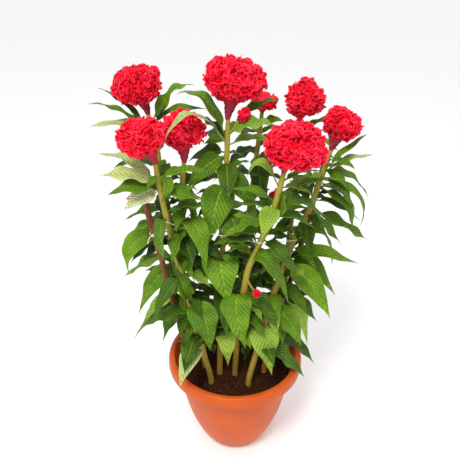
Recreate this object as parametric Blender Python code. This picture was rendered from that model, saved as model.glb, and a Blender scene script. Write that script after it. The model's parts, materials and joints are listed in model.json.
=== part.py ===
"""Potted cockscomb celosia: a plastic pot of soil with eight leafy stems, each under a crested bloom,
four wooden stakes and a string tied round two of them. Metres, +Z up, the pot's underside on z = 0."""

import math
import random
from typing import NamedTuple

import bmesh
import bpy
from mathutils import Matrix, Quaternion, Vector
from mathutils.bvhtree import BVHTree

UP = Vector((0, 0, 1))
GAP = 0.0003
SEED = 11

POT_HEIGHT = 0.224
RIM_RADIUS = 0.140
OPENING_RADIUS = 0.125
FOOT_RADIUS = 0.063
POT_WALL = 0.003
POT_SIDES = 32
LIP_BASE = POT_HEIGHT - 0.025
POT_OUTSIDE = ((FOOT_RADIUS, 0.0), (0.079, 0.027), (0.097, 0.072), (0.110, 0.126), (0.1165, 0.165),
               (0.121, LIP_BASE))
LIP_OUTSIDE = ((RIM_RADIUS - 0.001, LIP_BASE), (RIM_RADIUS, POT_HEIGHT - 0.008), (0.1345, POT_HEIGHT),
               (0.128, POT_HEIGHT))
LIP_INSIDE = (OPENING_RADIUS, POT_HEIGHT - 0.007)
DRAIN_RADIUS = 0.005
DRAIN_RING = 0.040
DRAINS = 3
SOIL_TOP = POT_HEIGHT - 0.042
SOIL_MOUND = 0.004
SOIL_CROWN = 0.075
HOLE_SIDES = 8

STEM_FOOT_RADIUS = 0.0065
STEM_TOP_RADIUS = 0.004
STEM_SIDES = 6
STEM_STATIONS = 11
ROOTED = 0.030
UPRIGHT = 0.015
HOLE_SLACK = 0.0009

STAKE_RADIUS = 0.0055
STAKE_DEPTH = 0.11
STRING_RADIUS = 0.0012
TWIG_RADII = (0.002, 0.0018, 0.0018)

BLADE_THICK = 0.0010
PETIOLE_THICK = 0.0024
PETIOLE_HALF = 0.0014
PETIOLE_SHARE = 0.14
FOLD = math.radians(14)
BLADE_STATIONS = (0.28, 0.62)
WIDTH_TO_LENGTH = 0.43
ROOM = 0.0009
HIGHEST_ROOT = 0.965
ROOT_STEP = 0.011
MOST_TURN = math.radians(62)
BACK_LENGTH = (0.098, 0.132)
BACK_SPREAD = (0.38, 0.46)
BACK_DIP = (-50, -8)
BACK_LIFT = 0.24
FIRST_BACK_ROOT = 0.22
BACK_ROOT_REACH = 0.73
GOLDEN_STEP = 0.618
LIFTS = (0.26, 0.16, 0.36)
SHIFTS = (0, 0.009, -0.009, 0.018, -0.018, 0.028, -0.028, 0.04, -0.04)

BLOOM_POINTS = 150
SIDE_BLOOM_POINTS = 40
RIDGE_WAVE = 0.021
RIDGE_HEIGHT = 0.0042
RIDGE_WAVES = 9
UNDERSIDE = 0.86
NECK_RADII = (STEM_TOP_RADIUS + 0.0008, 0.0066, 0.0120, 0.0160)

EYE = Vector((-0.0106, -0.8463, SOIL_TOP + 0.791))
EYE_PITCH = math.radians(28.5)
EYE_FOCAL = 520.0
FRAME_MIDDLE = 230.0
CURVE_STEPS = 12


class Stem(NamedTuple):
    """A stem by its route from the top, as (pixel x, pixel y, depth), and its foot on the soil."""

    route: tuple
    foot: tuple


class Bloom(NamedTuple):
    """A crested head: its stem, the pixel of its middle, its depth and size, its lean to right and front."""

    stem: str
    middle: tuple
    depth: float
    size: tuple
    lean: tuple


class Leaf(NamedTuple):
    """A leaf in view: its stem, the pixels of its root and tip, its seen width in pixels, how far its tip
    comes forward of its root, and a pixel that its midrib bends through."""

    stem: str
    root: tuple
    tip: tuple
    width: float
    forward: float
    bend: tuple = ()


class SideBloom(NamedTuple):
    """A small bloom on a side twig: its stem, the pixels of the twig's root and end, depth and size."""

    stem: str
    root: tuple
    end: tuple
    depth: float
    size: float


STEMS = {
    "stem_1": Stem(((148, 114, 0.060), (153, 124, 0.058), (162, 180, 0.050), (176, 250, 0.045),
                    (190, 315, 0.032)),
                   (-0.078, 0.024)),
    "stem_2": Stem(((155, 163, -0.082), (158, 180, -0.078), (172, 240, -0.052), (188, 300, -0.022)),
                   (-0.064, -0.008)),
    "stem_3": Stem(((184, 162, -0.030), (182, 190, -0.032), (183, 230, -0.040), (181, 262, -0.046),
                    (186, 285, -0.050), (194, 318, -0.054)), (-0.050, -0.052)),
    "stem_4": Stem(((228, 119, 0.0), (226, 180, -0.003), (222, 260, -0.010), (221, 300, -0.016)),
                   (-0.032, -0.026)),
    "stem_5": Stem(((262, 112, 0.125), (256, 160, 0.118), (248, 220, 0.095), (240, 290, 0.065)),
                   (0.001, 0.048)),
    "stem_6": Stem(((300, 121, 0.090), (297, 160, 0.088), (291, 220, 0.066), (283, 290, 0.028)),
                   (0.062, -0.020)),
    "stem_7": Stem(((284, 172, -0.104), (275, 205, -0.096), (262, 240, -0.080), (250, 262, -0.064),
                    (244, 290, -0.054), (238, 330, -0.042)), (0.0, -0.032)),
    "stem_8": Stem(((331, 150, 0.024), (326, 164, 0.021), (310, 208, 0.010), (290, 248, -0.002),
                    (276, 288, -0.022), (264, 324, -0.040)), (0.028, -0.058)),
}

BLOOMS = {
    "bloom_1": Bloom("stem_1", (137, 86), 0.060, (0.091, 0.084, 0.076), (-8, 0)),
    "bloom_2": Bloom("stem_2", (142, 138), -0.082, (0.080, 0.074, 0.066), (-14, 8)),
    "bloom_3": Bloom("stem_3", (182, 131), -0.030, (0.078, 0.076, 0.074), (-4, 6)),
    "bloom_4": Bloom("stem_4", (235, 82), 0.0, (0.106, 0.092, 0.080), (6, 0)),
    "bloom_5": Bloom("stem_5", (265, 101), 0.125, (0.060, 0.058, 0.036), (4, 0)),
    "bloom_6": Bloom("stem_6", (305, 98), 0.090, (0.078, 0.076, 0.076), (4, 0)),
    "bloom_7": Bloom("stem_7", (295, 148), -0.104, (0.100, 0.086, 0.080), (10, 10)),
    "bloom_8": Bloom("stem_8", (341, 125), 0.024, (0.072, 0.066, 0.062), (26, 4)),
}

SIDE_BLOOMS = {
    "side_bloom_1": SideBloom("stem_1", (164, 200), (136, 200), -0.020, 0.018),
    "side_bloom_2": SideBloom("stem_4", (227, 132), (239, 121), -0.014, 0.022),
    "side_bloom_3": SideBloom("stem_7", (247, 278), (254, 290), -0.084, 0.013),
    "side_bloom_4": SideBloom("stem_5", (246, 235), (268, 205), 0.128, 0.024),
}

LEAVES = (
    Leaf("stem_4", (226, 182), (210, 243), 34, 0.050),
    Leaf("stem_4", (223, 214), (242, 270), 30, 0.045, (235, 226)),
    Leaf("stem_4", (222, 256), (229, 306), 38, 0.045, (221, 266)),
    Leaf("stem_3", (191, 304), (210, 351), 30, 0.030, (204, 318)),
    Leaf("stem_7", (243, 294), (246, 349), 32, 0.030, (236, 308)),
    Leaf("stem_8", (262, 328), (272, 376), 31, 0.040, (264, 336)),
    Leaf("stem_7", (275, 205), (262, 238), 21, 0.035),
    Leaf("stem_2", (160, 190), (123, 211), 20, 0.020),
    Leaf("stem_2", (155, 165), (101, 176), 14, 0.010),
    Leaf("stem_2", (157, 174), (108, 195), 18, 0.0),
    Leaf("stem_8", (284, 262), (330, 318), 25, 0.040),
    Leaf("stem_7", (250, 262), (289, 304), 18, 0.030, (268, 260)),
    Leaf("stem_6", (289, 217), (309, 278), 20, 0.060),
    Leaf("stem_8", (271, 303), (301.5, 347), 23, 0.030),
    Leaf("stem_4", (226, 155), (187, 189), 22, 0.030),
    Leaf("stem_4", (226, 176), (258, 213), 22, 0.025, (238, 184)),
    Leaf("stem_3", (183, 222), (206, 272), 22, 0.030, (198, 230)),
    Leaf("stem_3", (183, 203), (176, 232), 15, 0.035),
    Leaf("stem_3", (182, 228), (172, 264), 15, 0.035),
    Leaf("stem_3", (190, 300), (172, 263), 16, 0.010, (183, 288)),
    Leaf("stem_1", (172, 232), (129, 275), 20, 0.030, (134, 243)),
    Leaf("stem_1", (180, 272), (139, 314), 20, 0.030, (158, 277)),
    Leaf("stem_1", (187, 300), (134, 338.5), 16, 0.030, (165, 304)),
    Leaf("stem_1", (185, 290), (141, 326), 12, 0.010, (168, 296)),
    Leaf("stem_4", (221, 326), (228, 366), 22, 0.045, (226, 336)),
    Leaf("stem_6", (281, 290), (307, 345), 16, 0.020),
    Leaf("stem_6", (287, 250), (335, 295), 18, 0.030, (310, 263)),
    Leaf("stem_6", (290, 210), (342, 246), 12, 0.030),
    Leaf("stem_6", (293, 188), (316, 221), 14, 0.040, (314, 188)),
    Leaf("stem_8", (288, 252), (359, 264), 14, 0.010, (322, 254)),
    Leaf("stem_8", (309, 208), (367, 240), 10, 0.0, (344, 226)),
    Leaf("stem_8", (319, 186), (353, 232), 9, 0.030, (344, 206)),
    Leaf("stem_8", (313, 200), (360, 221), 7, 0.020),
    Leaf("stem_8", (327, 162), (348, 190), 10, 0.040),
    Leaf("stem_8", (321, 180), (360, 226), 6, -0.010, (358, 196)),
    Leaf("stem_8", (323, 172), (369, 199), 6, -0.020, (350, 176)),
    Leaf("stem_8", (298, 230), (332, 265), 8, -0.030, (324, 234)),
    Leaf("stem_1", (150, 114), (98, 88), 5, -0.050, (120, 101)),
    Leaf("stem_1", (149, 118), (87, 104), 5, -0.020, (118, 110)),
    Leaf("stem_1", (150, 114), (194, 85), 9, -0.045, (168, 96)),
    Leaf("stem_1", (151, 118), (163, 114), 12, 0.055, (162, 103)),
    Leaf("stem_1", (152, 122), (206, 109), 7, 0.020, (172, 111)),
    Leaf("stem_1", (153, 128), (89, 127), 9, 0.010),
    Leaf("stem_2", (155, 163), (98, 154), 9, -0.050),
    Leaf("stem_2", (156, 170), (120, 212), 7, -0.010, (131, 183)),
    Leaf("stem_2", (157, 176), (147, 192), 8, 0.025),
    Leaf("stem_2", (156, 168), (160, 205), 12, 0.030, (168, 184)),
    Leaf("stem_2", (160, 192), (201, 200), 13, 0.020, (178, 193)),
    Leaf("stem_4", (228, 119), (177, 94), 11, -0.030, (204, 100)),
    Leaf("stem_4", (227, 128), (163, 145), 5, 0.090, (192, 114)),
    Leaf("stem_4", (228, 120), (279, 101), 7, -0.045, (258, 106)),
    Leaf("stem_4", (227, 130), (275, 125), 12, 0.020, (250, 124)),
    Leaf("stem_4", (226, 130), (204, 144), 10, 0.030),
    Leaf("stem_4", (226, 132), (200, 117), 8, -0.040),
    Leaf("stem_4", (226, 152), (188, 162), 14, -0.010),
    Leaf("stem_5", (262, 114), (283, 121), 8, 0.020),
    Leaf("stem_5", (256, 160), (262, 206), 20, 0.040),
    Leaf("stem_7", (283, 175), (247, 177), 9, 0.0, (262, 163)),
    Leaf("stem_7", (281, 184), (267, 236), 14, -0.030, (284, 200)),
    Leaf("stem_7", (284, 174), (345, 180), 6, -0.040),
    Leaf("stem_7", (284, 172), (322, 172), 5, -0.050),
    Leaf("stem_6", (300, 121), (335, 117), 5, -0.010),
    Leaf("stem_6", (300, 123), (320, 134), 6, 0.030),
    Leaf("stem_8", (330, 152), (367, 134), 6, -0.030, (350, 148)),
    Leaf("stem_8", (330, 152), (373, 155), 6, 0.0),
    Leaf("stem_8", (329, 156), (355, 169), 6, 0.020),
    Leaf("stem_3", (183, 234), (225, 262), 14, -0.010),
    Leaf("stem_3", (183, 198), (196, 235), 10, 0.0),
    Leaf("stem_3", (181, 256), (207, 296), 18, -0.010),
    Leaf("stem_1", (168, 212), (125, 220), 10, 0.010),
    Leaf("stem_1", (170, 222), (123, 241), 12, -0.010),
    Leaf("stem_1", (177, 256), (124, 277), 11, 0.0, (150, 262)),
    Leaf("stem_1", (174, 240), (142, 262), 10, 0.0),
    Leaf("stem_2", (167, 218), (164, 262), 12, 0.015, (160, 232)),
    Leaf("stem_2", (186, 290), (184, 318), 8, 0.020),
    Leaf("stem_4", (221, 318), (242, 346), 18, -0.010),
    Leaf("stem_7", (238, 336), (245, 366), 12, -0.010),
    Leaf("stem_8", (265, 322), (284, 322), 8, -0.010),
    Leaf("stem_3", (202, 345), (180, 387), 20, 0.075, (189, 358)),
    Leaf("stem_6", (276, 330), (285, 370), 10, 0.010),
    Leaf("stem_6", (285, 255), (263, 289), 20, 0.0, (270, 262)),
    Leaf("stem_8", (275, 290), (276, 322), 14, 0.030),
)

BACK_LEAVES = {
    "stem_1": (9, 30, 250),
    "stem_2": (6, 0, 270),
    "stem_3": (9, -30, 330),
    "stem_4": (14, 0, 360),
    "stem_5": (16, -60, 240),
    "stem_6": (14, -90, 180),
    "stem_7": (9, -90, 200),
    "stem_8": (9, -90, 160),
}

STAKES = {
    "stake_left": (Vector((-0.1585, -0.060, SOIL_TOP + 0.450)), Vector((-0.0930, -0.002, SOIL_TOP))),
    "stake_right": (Vector((0.1638, 0.054, SOIL_TOP + 0.445)), Vector((0.0770, 0.038, SOIL_TOP))),
    "stake_back": (Vector((-0.004, 0.074, SOIL_TOP + 0.270)), Vector((-0.012, 0.072, SOIL_TOP))),
    "stake_back_left": (Vector((-0.066, 0.070, SOIL_TOP + 0.235)), Vector((-0.052, 0.064, SOIL_TOP))),
}

STRING_ROUTE = ((167, 222, -0.073), (184, 229, -0.058), (209, 233.5, -0.066), (240, 239, -0.080),
                (264, 244, -0.092), (297, 240, -0.020))
STRING_WRAPS = (("stake_right", SOIL_TOP + 0.298, -80), ("stake_left", SOIL_TOP + 0.351, 100))
WRAP_STEP = 42
WRAP_TURNS = 5
STRING_BACK = ((0.112, 0.082, SOIL_TOP + 0.297), (0.045, 0.122, SOIL_TOP + 0.295),
               (-0.07, 0.070, SOIL_TOP + 0.315))


def clean_scene():
    for thing in list(bpy.data.objects):
        bpy.data.objects.remove(thing)


def material(name, colour, roughness):
    made = bpy.data.materials.new(name)
    made.use_nodes = True
    shader = made.node_tree.nodes["Principled BSDF"]
    shader.inputs["Base Color"].default_value = (*colour, 1.0)
    shader.inputs["Roughness"].default_value = roughness
    shader.inputs["Metallic"].default_value = 0.0
    return made


def seen(x, y, depth):
    """The point of the plane Y = depth that the reference view shows at pixel (x, y)."""
    ahead = Vector((0, math.cos(EYE_PITCH), -math.sin(EYE_PITCH)))
    above = Vector((0, math.sin(EYE_PITCH), math.cos(EYE_PITCH)))
    sight = ahead * EYE_FOCAL + above * (FRAME_MIDDLE - y) + Vector((x - FRAME_MIDDLE, 0, 0))
    return EYE + sight * ((depth - EYE.y) / sight.y)


def pixel_of(point):
    away = point - EYE
    ahead = away.y * math.cos(EYE_PITCH) - away.z * math.sin(EYE_PITCH)
    above = away.y * math.sin(EYE_PITCH) + away.z * math.cos(EYE_PITCH)
    return Vector((FRAME_MIDDLE + EYE_FOCAL * away.x / ahead, FRAME_MIDDLE - EYE_FOCAL * above / ahead))


def pixel_size(point):
    away = point - EYE
    return (away.y * math.cos(EYE_PITCH) - away.z * math.sin(EYE_PITCH)) / EYE_FOCAL


def smooth(route, count):
    """Evenly spaced points on a Catmull-Rom curve through the route."""
    ends = [2 * route[0] - route[1], *route, 2 * route[-1] - route[-2]]
    fine = []
    for before, start, end, after in zip(ends, ends[1:], ends[2:], ends[3:]):
        for step in range(CURVE_STEPS):
            t = step / CURVE_STEPS
            fine.append(0.5 * (2 * start + (end - before) * t
                               + (2 * before - 5 * start + 4 * end - after) * t**2
                               + (3 * start - before - 3 * end + after) * t**3))
    fine.append(route[-1].copy())
    return spaced(fine, count)


def spaced(line, count):
    reach = [0.0]
    for a, b in zip(line, line[1:]):
        reach.append(reach[-1] + (b - a).length)
    found = []
    at = 0
    for k in range(count):
        want = reach[-1] * k / (count - 1)
        while at < len(line) - 2 and reach[at + 1] < want:
            at += 1
        share = (want - reach[at]) / (reach[at + 1] - reach[at])
        found.append(line[at].lerp(line[at + 1], share))
    return found


def new_mesh(name, points, faces):
    mesh = bpy.data.meshes.new(name)
    mesh.from_pydata([tuple(p) for p in points], [], faces)
    mesh.validate()
    return mesh


def new_object(name, mesh, look=None):
    made = bpy.data.objects.new(name, mesh)
    bpy.context.scene.collection.objects.link(made)
    if look:
        mesh.materials.append(look)
    return made


def tube_shape(line, radii, sides, closed=False):
    """Points and faces of a round tube along a line, with flat ends or joined into a ring."""
    points, faces = [], []
    count = len(line)
    heading = (line[1] - line[0]).normalized()
    across = heading.orthogonal().normalized()
    for k, centre in enumerate(line):
        after = line[(k + 1) % count] if closed or k < count - 1 else centre
        before = line[k - 1] if closed or k > 0 else centre
        turned = (after - before).normalized()
        across = heading.rotation_difference(turned) @ across
        across = (across - turned * across.dot(turned)).normalized()
        heading = turned
        for s in range(sides):
            angle = 2 * math.pi * s / sides
            points.append(centre + Quaternion(heading, angle) @ across * radii[k])
    for k in range(count if closed else count - 1):
        a, b = k * sides, (k + 1) % count * sides
        for s in range(sides):
            t = (s + 1) % sides
            faces.append((a + s, a + t, b + t, b + s))
    if not closed:
        faces.append(tuple(reversed(range(sides))))
        faces.append(tuple(range((count - 1) * sides, count * sides)))
    return points, faces


def lathe(name, profile, sides, look):
    """A closed profile of (radius, height) turned round Z; points with no radius are poles."""
    mesh = bmesh.new()
    rings = []
    for radius, height in profile:
        if radius == 0:
            rings.append([mesh.verts.new((0, 0, height))])
            continue
        angles = [2 * math.pi * k / sides for k in range(sides)]
        rings.append([mesh.verts.new((radius * math.cos(angle), radius * math.sin(angle), height))
                      for angle in angles])
    for low, high in zip(rings, rings[1:]):
        for k in range(sides):
            n = (k + 1) % sides
            corners = [low[k % len(low)], low[n % len(low)], high[n % len(high)], high[k % len(high)]]
            mesh.faces.new(list(dict.fromkeys(corners)))
    bmesh.ops.recalc_face_normals(mesh, faces=mesh.faces)
    data = bpy.data.meshes.new(name)
    mesh.to_mesh(data)
    mesh.free()
    return new_object(name, data, look)


def cut(target, cutters, solver="EXACT"):
    boolean(target, cutters, "DIFFERENCE", solver)


def join(target, others, solver="EXACT"):
    boolean(target, others, "UNION", solver)


def boolean(target, others, operation, solver):
    """One applied Boolean on a collection of the other objects, which are then removed."""
    group = bpy.data.collections.new(target.name + "_others")
    bpy.context.scene.collection.children.link(group)
    for other in others:
        group.objects.link(other)
    step = target.modifiers.new(operation.lower(), "BOOLEAN")
    step.operation = operation
    step.operand_type = "COLLECTION"
    step.collection = group
    step.solver = solver
    shaped = bpy.data.meshes.new_from_object(target.evaluated_get(bpy.context.evaluated_depsgraph_get()))
    target.modifiers.clear()
    target.data = shaped
    for other in others:
        bpy.data.objects.remove(other)
    bpy.data.collections.remove(group)


def keep_largest(thing):
    """Drops the loose scraps and the sealed hollows that a union leaves: all but the largest island."""
    mesh = bmesh.new()
    mesh.from_mesh(thing.data)
    left = set(mesh.verts)
    islands = []
    while left:
        island, edge = set(), [left.pop()]
        while edge:
            vert = edge.pop()
            island.add(vert)
            beside = {link.other_vert(vert) for link in vert.link_edges} & left
            left -= beside
            edge += beside
        islands.append(island)
    islands.sort(key=len)
    for island in islands[:-1]:
        bmesh.ops.delete(mesh, geom=list(island), context="VERTS")
    mesh.to_mesh(thing.data)
    mesh.free()


def inner_wall():
    inside = [(radius - POT_WALL, height) for radius, height in POT_OUTSIDE]
    inside[0] = (FOOT_RADIUS - POT_WALL + 0.002, POT_WALL)
    return inside


def hole_cutter(name, low, high, radius):
    return new_object(name, new_mesh("hole", *tube_shape([low, high], (radius, radius), HOLE_SIDES)))


def make_pot(look):
    profile = [(0, 0), *POT_OUTSIDE, *LIP_OUTSIDE, LIP_INSIDE, *reversed(inner_wall()), (0, POT_WALL)]
    pot = lathe("pot", profile, POT_SIDES, look)
    drains = []
    for k in range(DRAINS):
        angle = 2 * math.pi * (k + 0.5) / DRAINS
        middle = Vector((DRAIN_RING * math.cos(angle), DRAIN_RING * math.sin(angle), 0))
        drains.append(hole_cutter(f"drain_{k}", middle - 0.01 * UP, middle + 0.01 * UP, DRAIN_RADIUS))
    cut(pot, drains)
    return pot


def soil_radius(height):
    wall = inner_wall()
    for (low_radius, low), (high_radius, high) in zip(wall, wall[1:]):
        if height <= high:
            return low_radius + (high_radius - low_radius) * (height - low) / (high - low)
    return wall[-1][0]


def stem_line(stem):
    """The stem's middle line from its rooted end up to its flat top."""
    x, y = stem.foot
    bottom = Vector((x, y, SOIL_TOP - ROOTED))
    upper = [Vector((x, y, SOIL_TOP + UPRIGHT))] + [seen(*place) for place in reversed(stem.route)]
    return [bottom] + smooth(upper, STEM_STATIONS - 1)


def stem_radius(share):
    return STEM_FOOT_RADIUS + (STEM_TOP_RADIUS - STEM_FOOT_RADIUS) * share


def stem_radii(count):
    return [stem_radius(k / (count - 1)) for k in range(count)]


def stake_line(top, foot):
    into = (foot - top).normalized()
    return [foot + into * STAKE_DEPTH, top]


def make_soil(look):
    """The filled inside of the pot, mounded a little, with a plain hole for each stem and stake."""
    base = POT_WALL + GAP
    heights = [base] + [height for _, height in POT_OUTSIDE[1:-1]] + [SOIL_TOP]
    profile = [(0, base)] + [(soil_radius(height) - 2 * GAP, height) for height in heights]
    profile += [(SOIL_CROWN, SOIL_TOP + 0.6 * SOIL_MOUND), (0, SOIL_TOP + SOIL_MOUND)]
    soil = lathe("soil", profile, POT_SIDES, look)
    holes = []
    for name, stem in STEMS.items():
        foot = Vector((*stem.foot, SOIL_TOP))
        holes.append(hole_cutter(name + "_hole", foot - (ROOTED + GAP) * UP, foot + 0.02 * UP,
                                 STEM_FOOT_RADIUS + HOLE_SLACK))
    for name, (top, foot) in STAKES.items():
        low, high = stake_line(top, foot)
        along = (high - low).normalized()
        holes.append(hole_cutter(name + "_hole", low - along * GAP, foot + along * 0.02,
                                 STAKE_RADIUS + HOLE_SLACK))
    cut(soil, holes)
    return soil


def make_stakes(look):
    return [new_object(name, new_mesh(name, *tube_shape(stake_line(*ends), (STAKE_RADIUS,) * 2, 8)), look)
            for name, ends in STAKES.items()]


def stake_at(name, height):
    low, high = stake_line(*STAKES[name])
    return low.lerp(high, (height - low.z) / (high.z - low.z))


def make_string(look):
    """One loop of string drawn round both outer stakes, in front of the stems and behind them."""
    reach = (STAKE_RADIUS + STRING_RADIUS + 2 * GAP) / math.cos(math.radians(WRAP_STEP / 2))
    ring = [seen(*place) for place in STRING_ROUTE]
    for stake, height, first in STRING_WRAPS:
        for k in range(WRAP_TURNS):
            angle = math.radians(first + WRAP_STEP * k)
            ring.append(stake_at(stake, height) + reach * Vector((math.cos(angle), math.sin(angle), 0)))
        if stake == "stake_right":
            ring += [Vector(place) for place in STRING_BACK]
    points, faces = tube_shape(ring, (STRING_RADIUS,) * len(ring), 6, closed=True)
    return new_object("tie_string", new_mesh("tie_string", points, faces), look)


def ridges(seed):
    """A labyrinth of ridges: the sum of seeded plane waves whose crests are one ridge apart."""
    draw = random.Random(seed)
    waves = []
    for _ in range(RIDGE_WAVES):
        direction = Vector([draw.gauss(0, 1) for _ in range(3)]).normalized()
        waves.append((direction * (2 * math.pi / RIDGE_WAVE), draw.uniform(0, 2 * math.pi)))
    strength = 1 / math.sqrt(RIDGE_WAVES)
    return lambda place: strength * sum(math.cos(wave.dot(place) + shift) for wave, shift in waves)


def head_frame(bloom, middle):
    right, front = (math.radians(angle) for angle in bloom.lean)
    return Matrix.Translation(middle) @ Matrix.Rotation(right, 4, "Y") @ Matrix.Rotation(front, 4, "X")


def head_shape(size, frame, relief, count, seed):
    """A head as evenly spread points on a domed form, raised into ridges and closed by their hull."""
    mesh = bmesh.new()
    for k in range(count):
        height = 1 - (2 * k + 1) / count
        ring = math.sqrt(1 - height * height)
        turn = k * math.pi * (3 - math.sqrt(5))
        mesh.verts.new((ring * math.cos(turn), ring * math.sin(turn), height))
    bmesh.ops.convex_hull(mesh, input=mesh.verts)
    raised = ridges(seed)
    for vert in mesh.verts:
        way = vert.co.copy()
        squat = 1.0 if way.z > 0 else UNDERSIDE
        place = Vector((way.x * size[0] / 2, way.y * size[1] / 2, way.z * size[2] / 2 * squat))
        lift = relief * max(-1.0, min(1.0, raised(place)))
        vert.co = frame @ (place + place.normalized() * (lift - relief))
    bmesh.ops.triangulate(mesh, faces=mesh.faces)
    bmesh.ops.recalc_face_normals(mesh, faces=mesh.faces)
    return mesh


def seat(line):
    """The flat top of a stem and the way it points."""
    return line[-1], (line[-1] - line[-2]).normalized()


def make_bloom(name, bloom, line, look, seed):
    middle = seen(*bloom.middle, bloom.depth)
    shape = head_shape(bloom.size, head_frame(bloom, middle), RIDGE_HEIGHT, BLOOM_POINTS, seed)
    data = bpy.data.meshes.new(name)
    shape.to_mesh(data)
    shape.free()
    head = new_object(name, data, look)
    top, way = seat(line)
    start = top + way * GAP
    neck = [start, start + way * 0.006, start.lerp(middle, 0.55) + way * 0.003, start.lerp(middle, 0.85)]
    join(head, [new_object(name + "_neck", new_mesh("neck", *tube_shape(neck, NECK_RADII, 8)))])
    return head


def nearest_on(line, pixel):
    """The share of the line whose place is seen nearest to the pixel."""
    shares = [k / 120 for k in range(121)]
    return min(shares, key=lambda share: (pixel_of(place_on(line, share)) - Vector(pixel)).length)


def place_on(line, share):
    at = share * (len(line) - 1)
    whole = min(int(at), len(line) - 2)
    return line[whole].lerp(line[whole + 1], at - whole)


def twig(side, line):
    """A side twig's line from inside its stem to its flat end."""
    root = place_on(line, nearest_on(line, side.root))
    end = seen(*side.end, side.depth)
    return [root, root.lerp(end, 0.5) - UP * 0.1 * (end - root).length, end]


def make_side_bloom(name, side, line, look, seed):
    _, middle, end = twig(side, line)
    way = (end - middle).normalized()
    start = end + way * GAP
    size = side.size
    centre = start + way * size * 0.75
    turned = UP.rotation_difference(way).to_matrix().to_4x4()
    shape = head_shape((size, size, size * 1.3), Matrix.Translation(centre) @ turned, size * 0.06,
                       SIDE_BLOOM_POINTS, seed)
    data = bpy.data.meshes.new(name)
    shape.to_mesh(data)
    shape.free()
    head = new_object(name, data, look)
    neck = [start, centre]
    join(head, [new_object(name + "_neck", new_mesh("neck", *tube_shape(neck, (0.0022, size * 0.3), 6)))])
    return head


class Blade(NamedTuple):
    """A leaf's midrib as a quadratic curve, its side direction and its half width. The upper face looks
    along side x midrib."""

    root: Vector
    bend: Vector
    tip: Vector
    side: Vector
    half: float


def midrib(blade, t):
    return (1 - t)**2 * blade.root + 2 * t * (1 - t) * blade.bend + t**2 * blade.tip


def along_midrib(blade, t):
    return (2 * (1 - t) * (blade.bend - blade.root) + 2 * t * (blade.tip - blade.bend)).normalized()


def half_width(share):
    """Half the width of a blade along its length, over its greatest: egg-shaped, drawn out to the tip."""
    return share**0.62 * (1 - share)**1.25 / 0.3037


def blade_section(blade, t, half, thick, fold):
    middle = midrib(blade, t)
    normal = blade.side.cross(along_midrib(blade, t)).normalized()
    out = blade.side * half * math.cos(fold)
    rise = normal * half * math.sin(fold)
    up = normal * thick / 2
    return [middle - out + rise + up, middle + up, middle + out + rise + up,
            middle + out + rise - up, middle - up, middle - out + rise - up]


BAND = ((0, 1, 6), (1, 7, 6), (1, 2, 8), (1, 8, 7), (2, 3, 9), (2, 9, 8),
        (4, 9, 3), (4, 10, 9), (5, 11, 4), (4, 11, 10), (5, 0, 6), (5, 6, 11))
TIP_BAND = ((0, 1, 6), (1, 2, 6), (2, 3, 7), (2, 7, 6), (3, 4, 7), (4, 5, 7), (5, 0, 6), (5, 6, 7))


def blade_tip(blade, grow=0.0):
    """The upper and the lower end of the edge in which a blade ends."""
    onward = along_midrib(blade, 1.0)
    normal = blade.side.cross(onward).normalized()
    end = blade.tip + onward * grow
    return [end + normal * (BLADE_THICK / 2 + grow), end - normal * (BLADE_THICK / 2 + grow)]


def blade_shape(blade, grow=0.0, start=0):
    """Points and faces of a closed leaf: its petiole, then its folded blade; grown all round if asked."""
    sections = []
    if start == 0:
        sections.append(blade_section(blade, 0.0, PETIOLE_HALF + grow, PETIOLE_THICK + 2 * grow, 0.0))
    sections.append(blade_section(blade, PETIOLE_SHARE, PETIOLE_HALF + grow, PETIOLE_THICK + 2 * grow, 0.0))
    for share in BLADE_STATIONS:
        t = PETIOLE_SHARE + (1 - PETIOLE_SHARE) * share
        half = blade.half * half_width(share)
        sections.append(blade_section(blade, t, half + grow, BLADE_THICK + 2 * grow, FOLD))
    points = [point for section in sections for point in section] + blade_tip(blade, grow)
    faces = [(0, 5, 4), (0, 4, 1), (1, 4, 3), (1, 3, 2)]
    for k in range(len(sections)):
        bands = BAND if k < len(sections) - 1 else TIP_BAND
        faces += [tuple(6 * k + corner for corner in band) for band in bands]
    return points, faces


def arched(root, tip, lift):
    """Where the midrib's curve bends: out and up from the stem, then over to the tip."""
    chord = tip - root
    level = Vector((chord.x, chord.y, 0))
    out = level.normalized() if level.length > 0.2 * chord.length else Vector((0, -1, 0))
    drop = max(0.0, -chord.z / chord.length)
    return root + chord * (0.45 - 0.15 * drop) + (UP * 0.75 + out * (0.2 + 0.5 * drop)) * lift * chord.length


def seen_leaf(leaf, root, forward, lift):
    tip = seen(*leaf.tip, root.y - leaf.forward - forward)
    if leaf.bend:
        between = (root.y + tip.y) / 2 - 0.012 - 0.2 * lift * (tip - root).length
        bend = 2 * seen(*leaf.bend, between) - (root + tip) / 2
    else:
        bend = arched(root, tip, lift)
    chord = tip - root
    middle = (root + tip) / 2
    view = (EYE - middle).normalized()
    side = chord.cross(view).normalized()
    face = side.cross(chord).normalized()
    shown = leaf.width * pixel_size(middle) / 2
    natural = max(shown, WIDTH_TO_LENGTH / 2 * min(chord.length, 0.09))
    turn = min(math.acos(min(1.0, shown / natural)), MOST_TURN)
    lean = math.copysign(turn, side.z)
    turned = (side * math.cos(lean) - face * math.sin(lean)).normalized()
    return Blade(root, bend, tip, turned, min(shown / math.cos(turn), natural * 1.2))


def seen_choices(leaf, line, number):
    """The leaf as it is seen, then with its tip nearer or farther on the same line of sight."""
    share = nearest_on(line, leaf.root)
    root = place_on(line, min(share, HIGHEST_ROOT - ROOT_STEP * (number % 5)))
    for lift in LIFTS:
        for forward in SHIFTS:
            yield seen_leaf(leaf, root, forward, lift)


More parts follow.
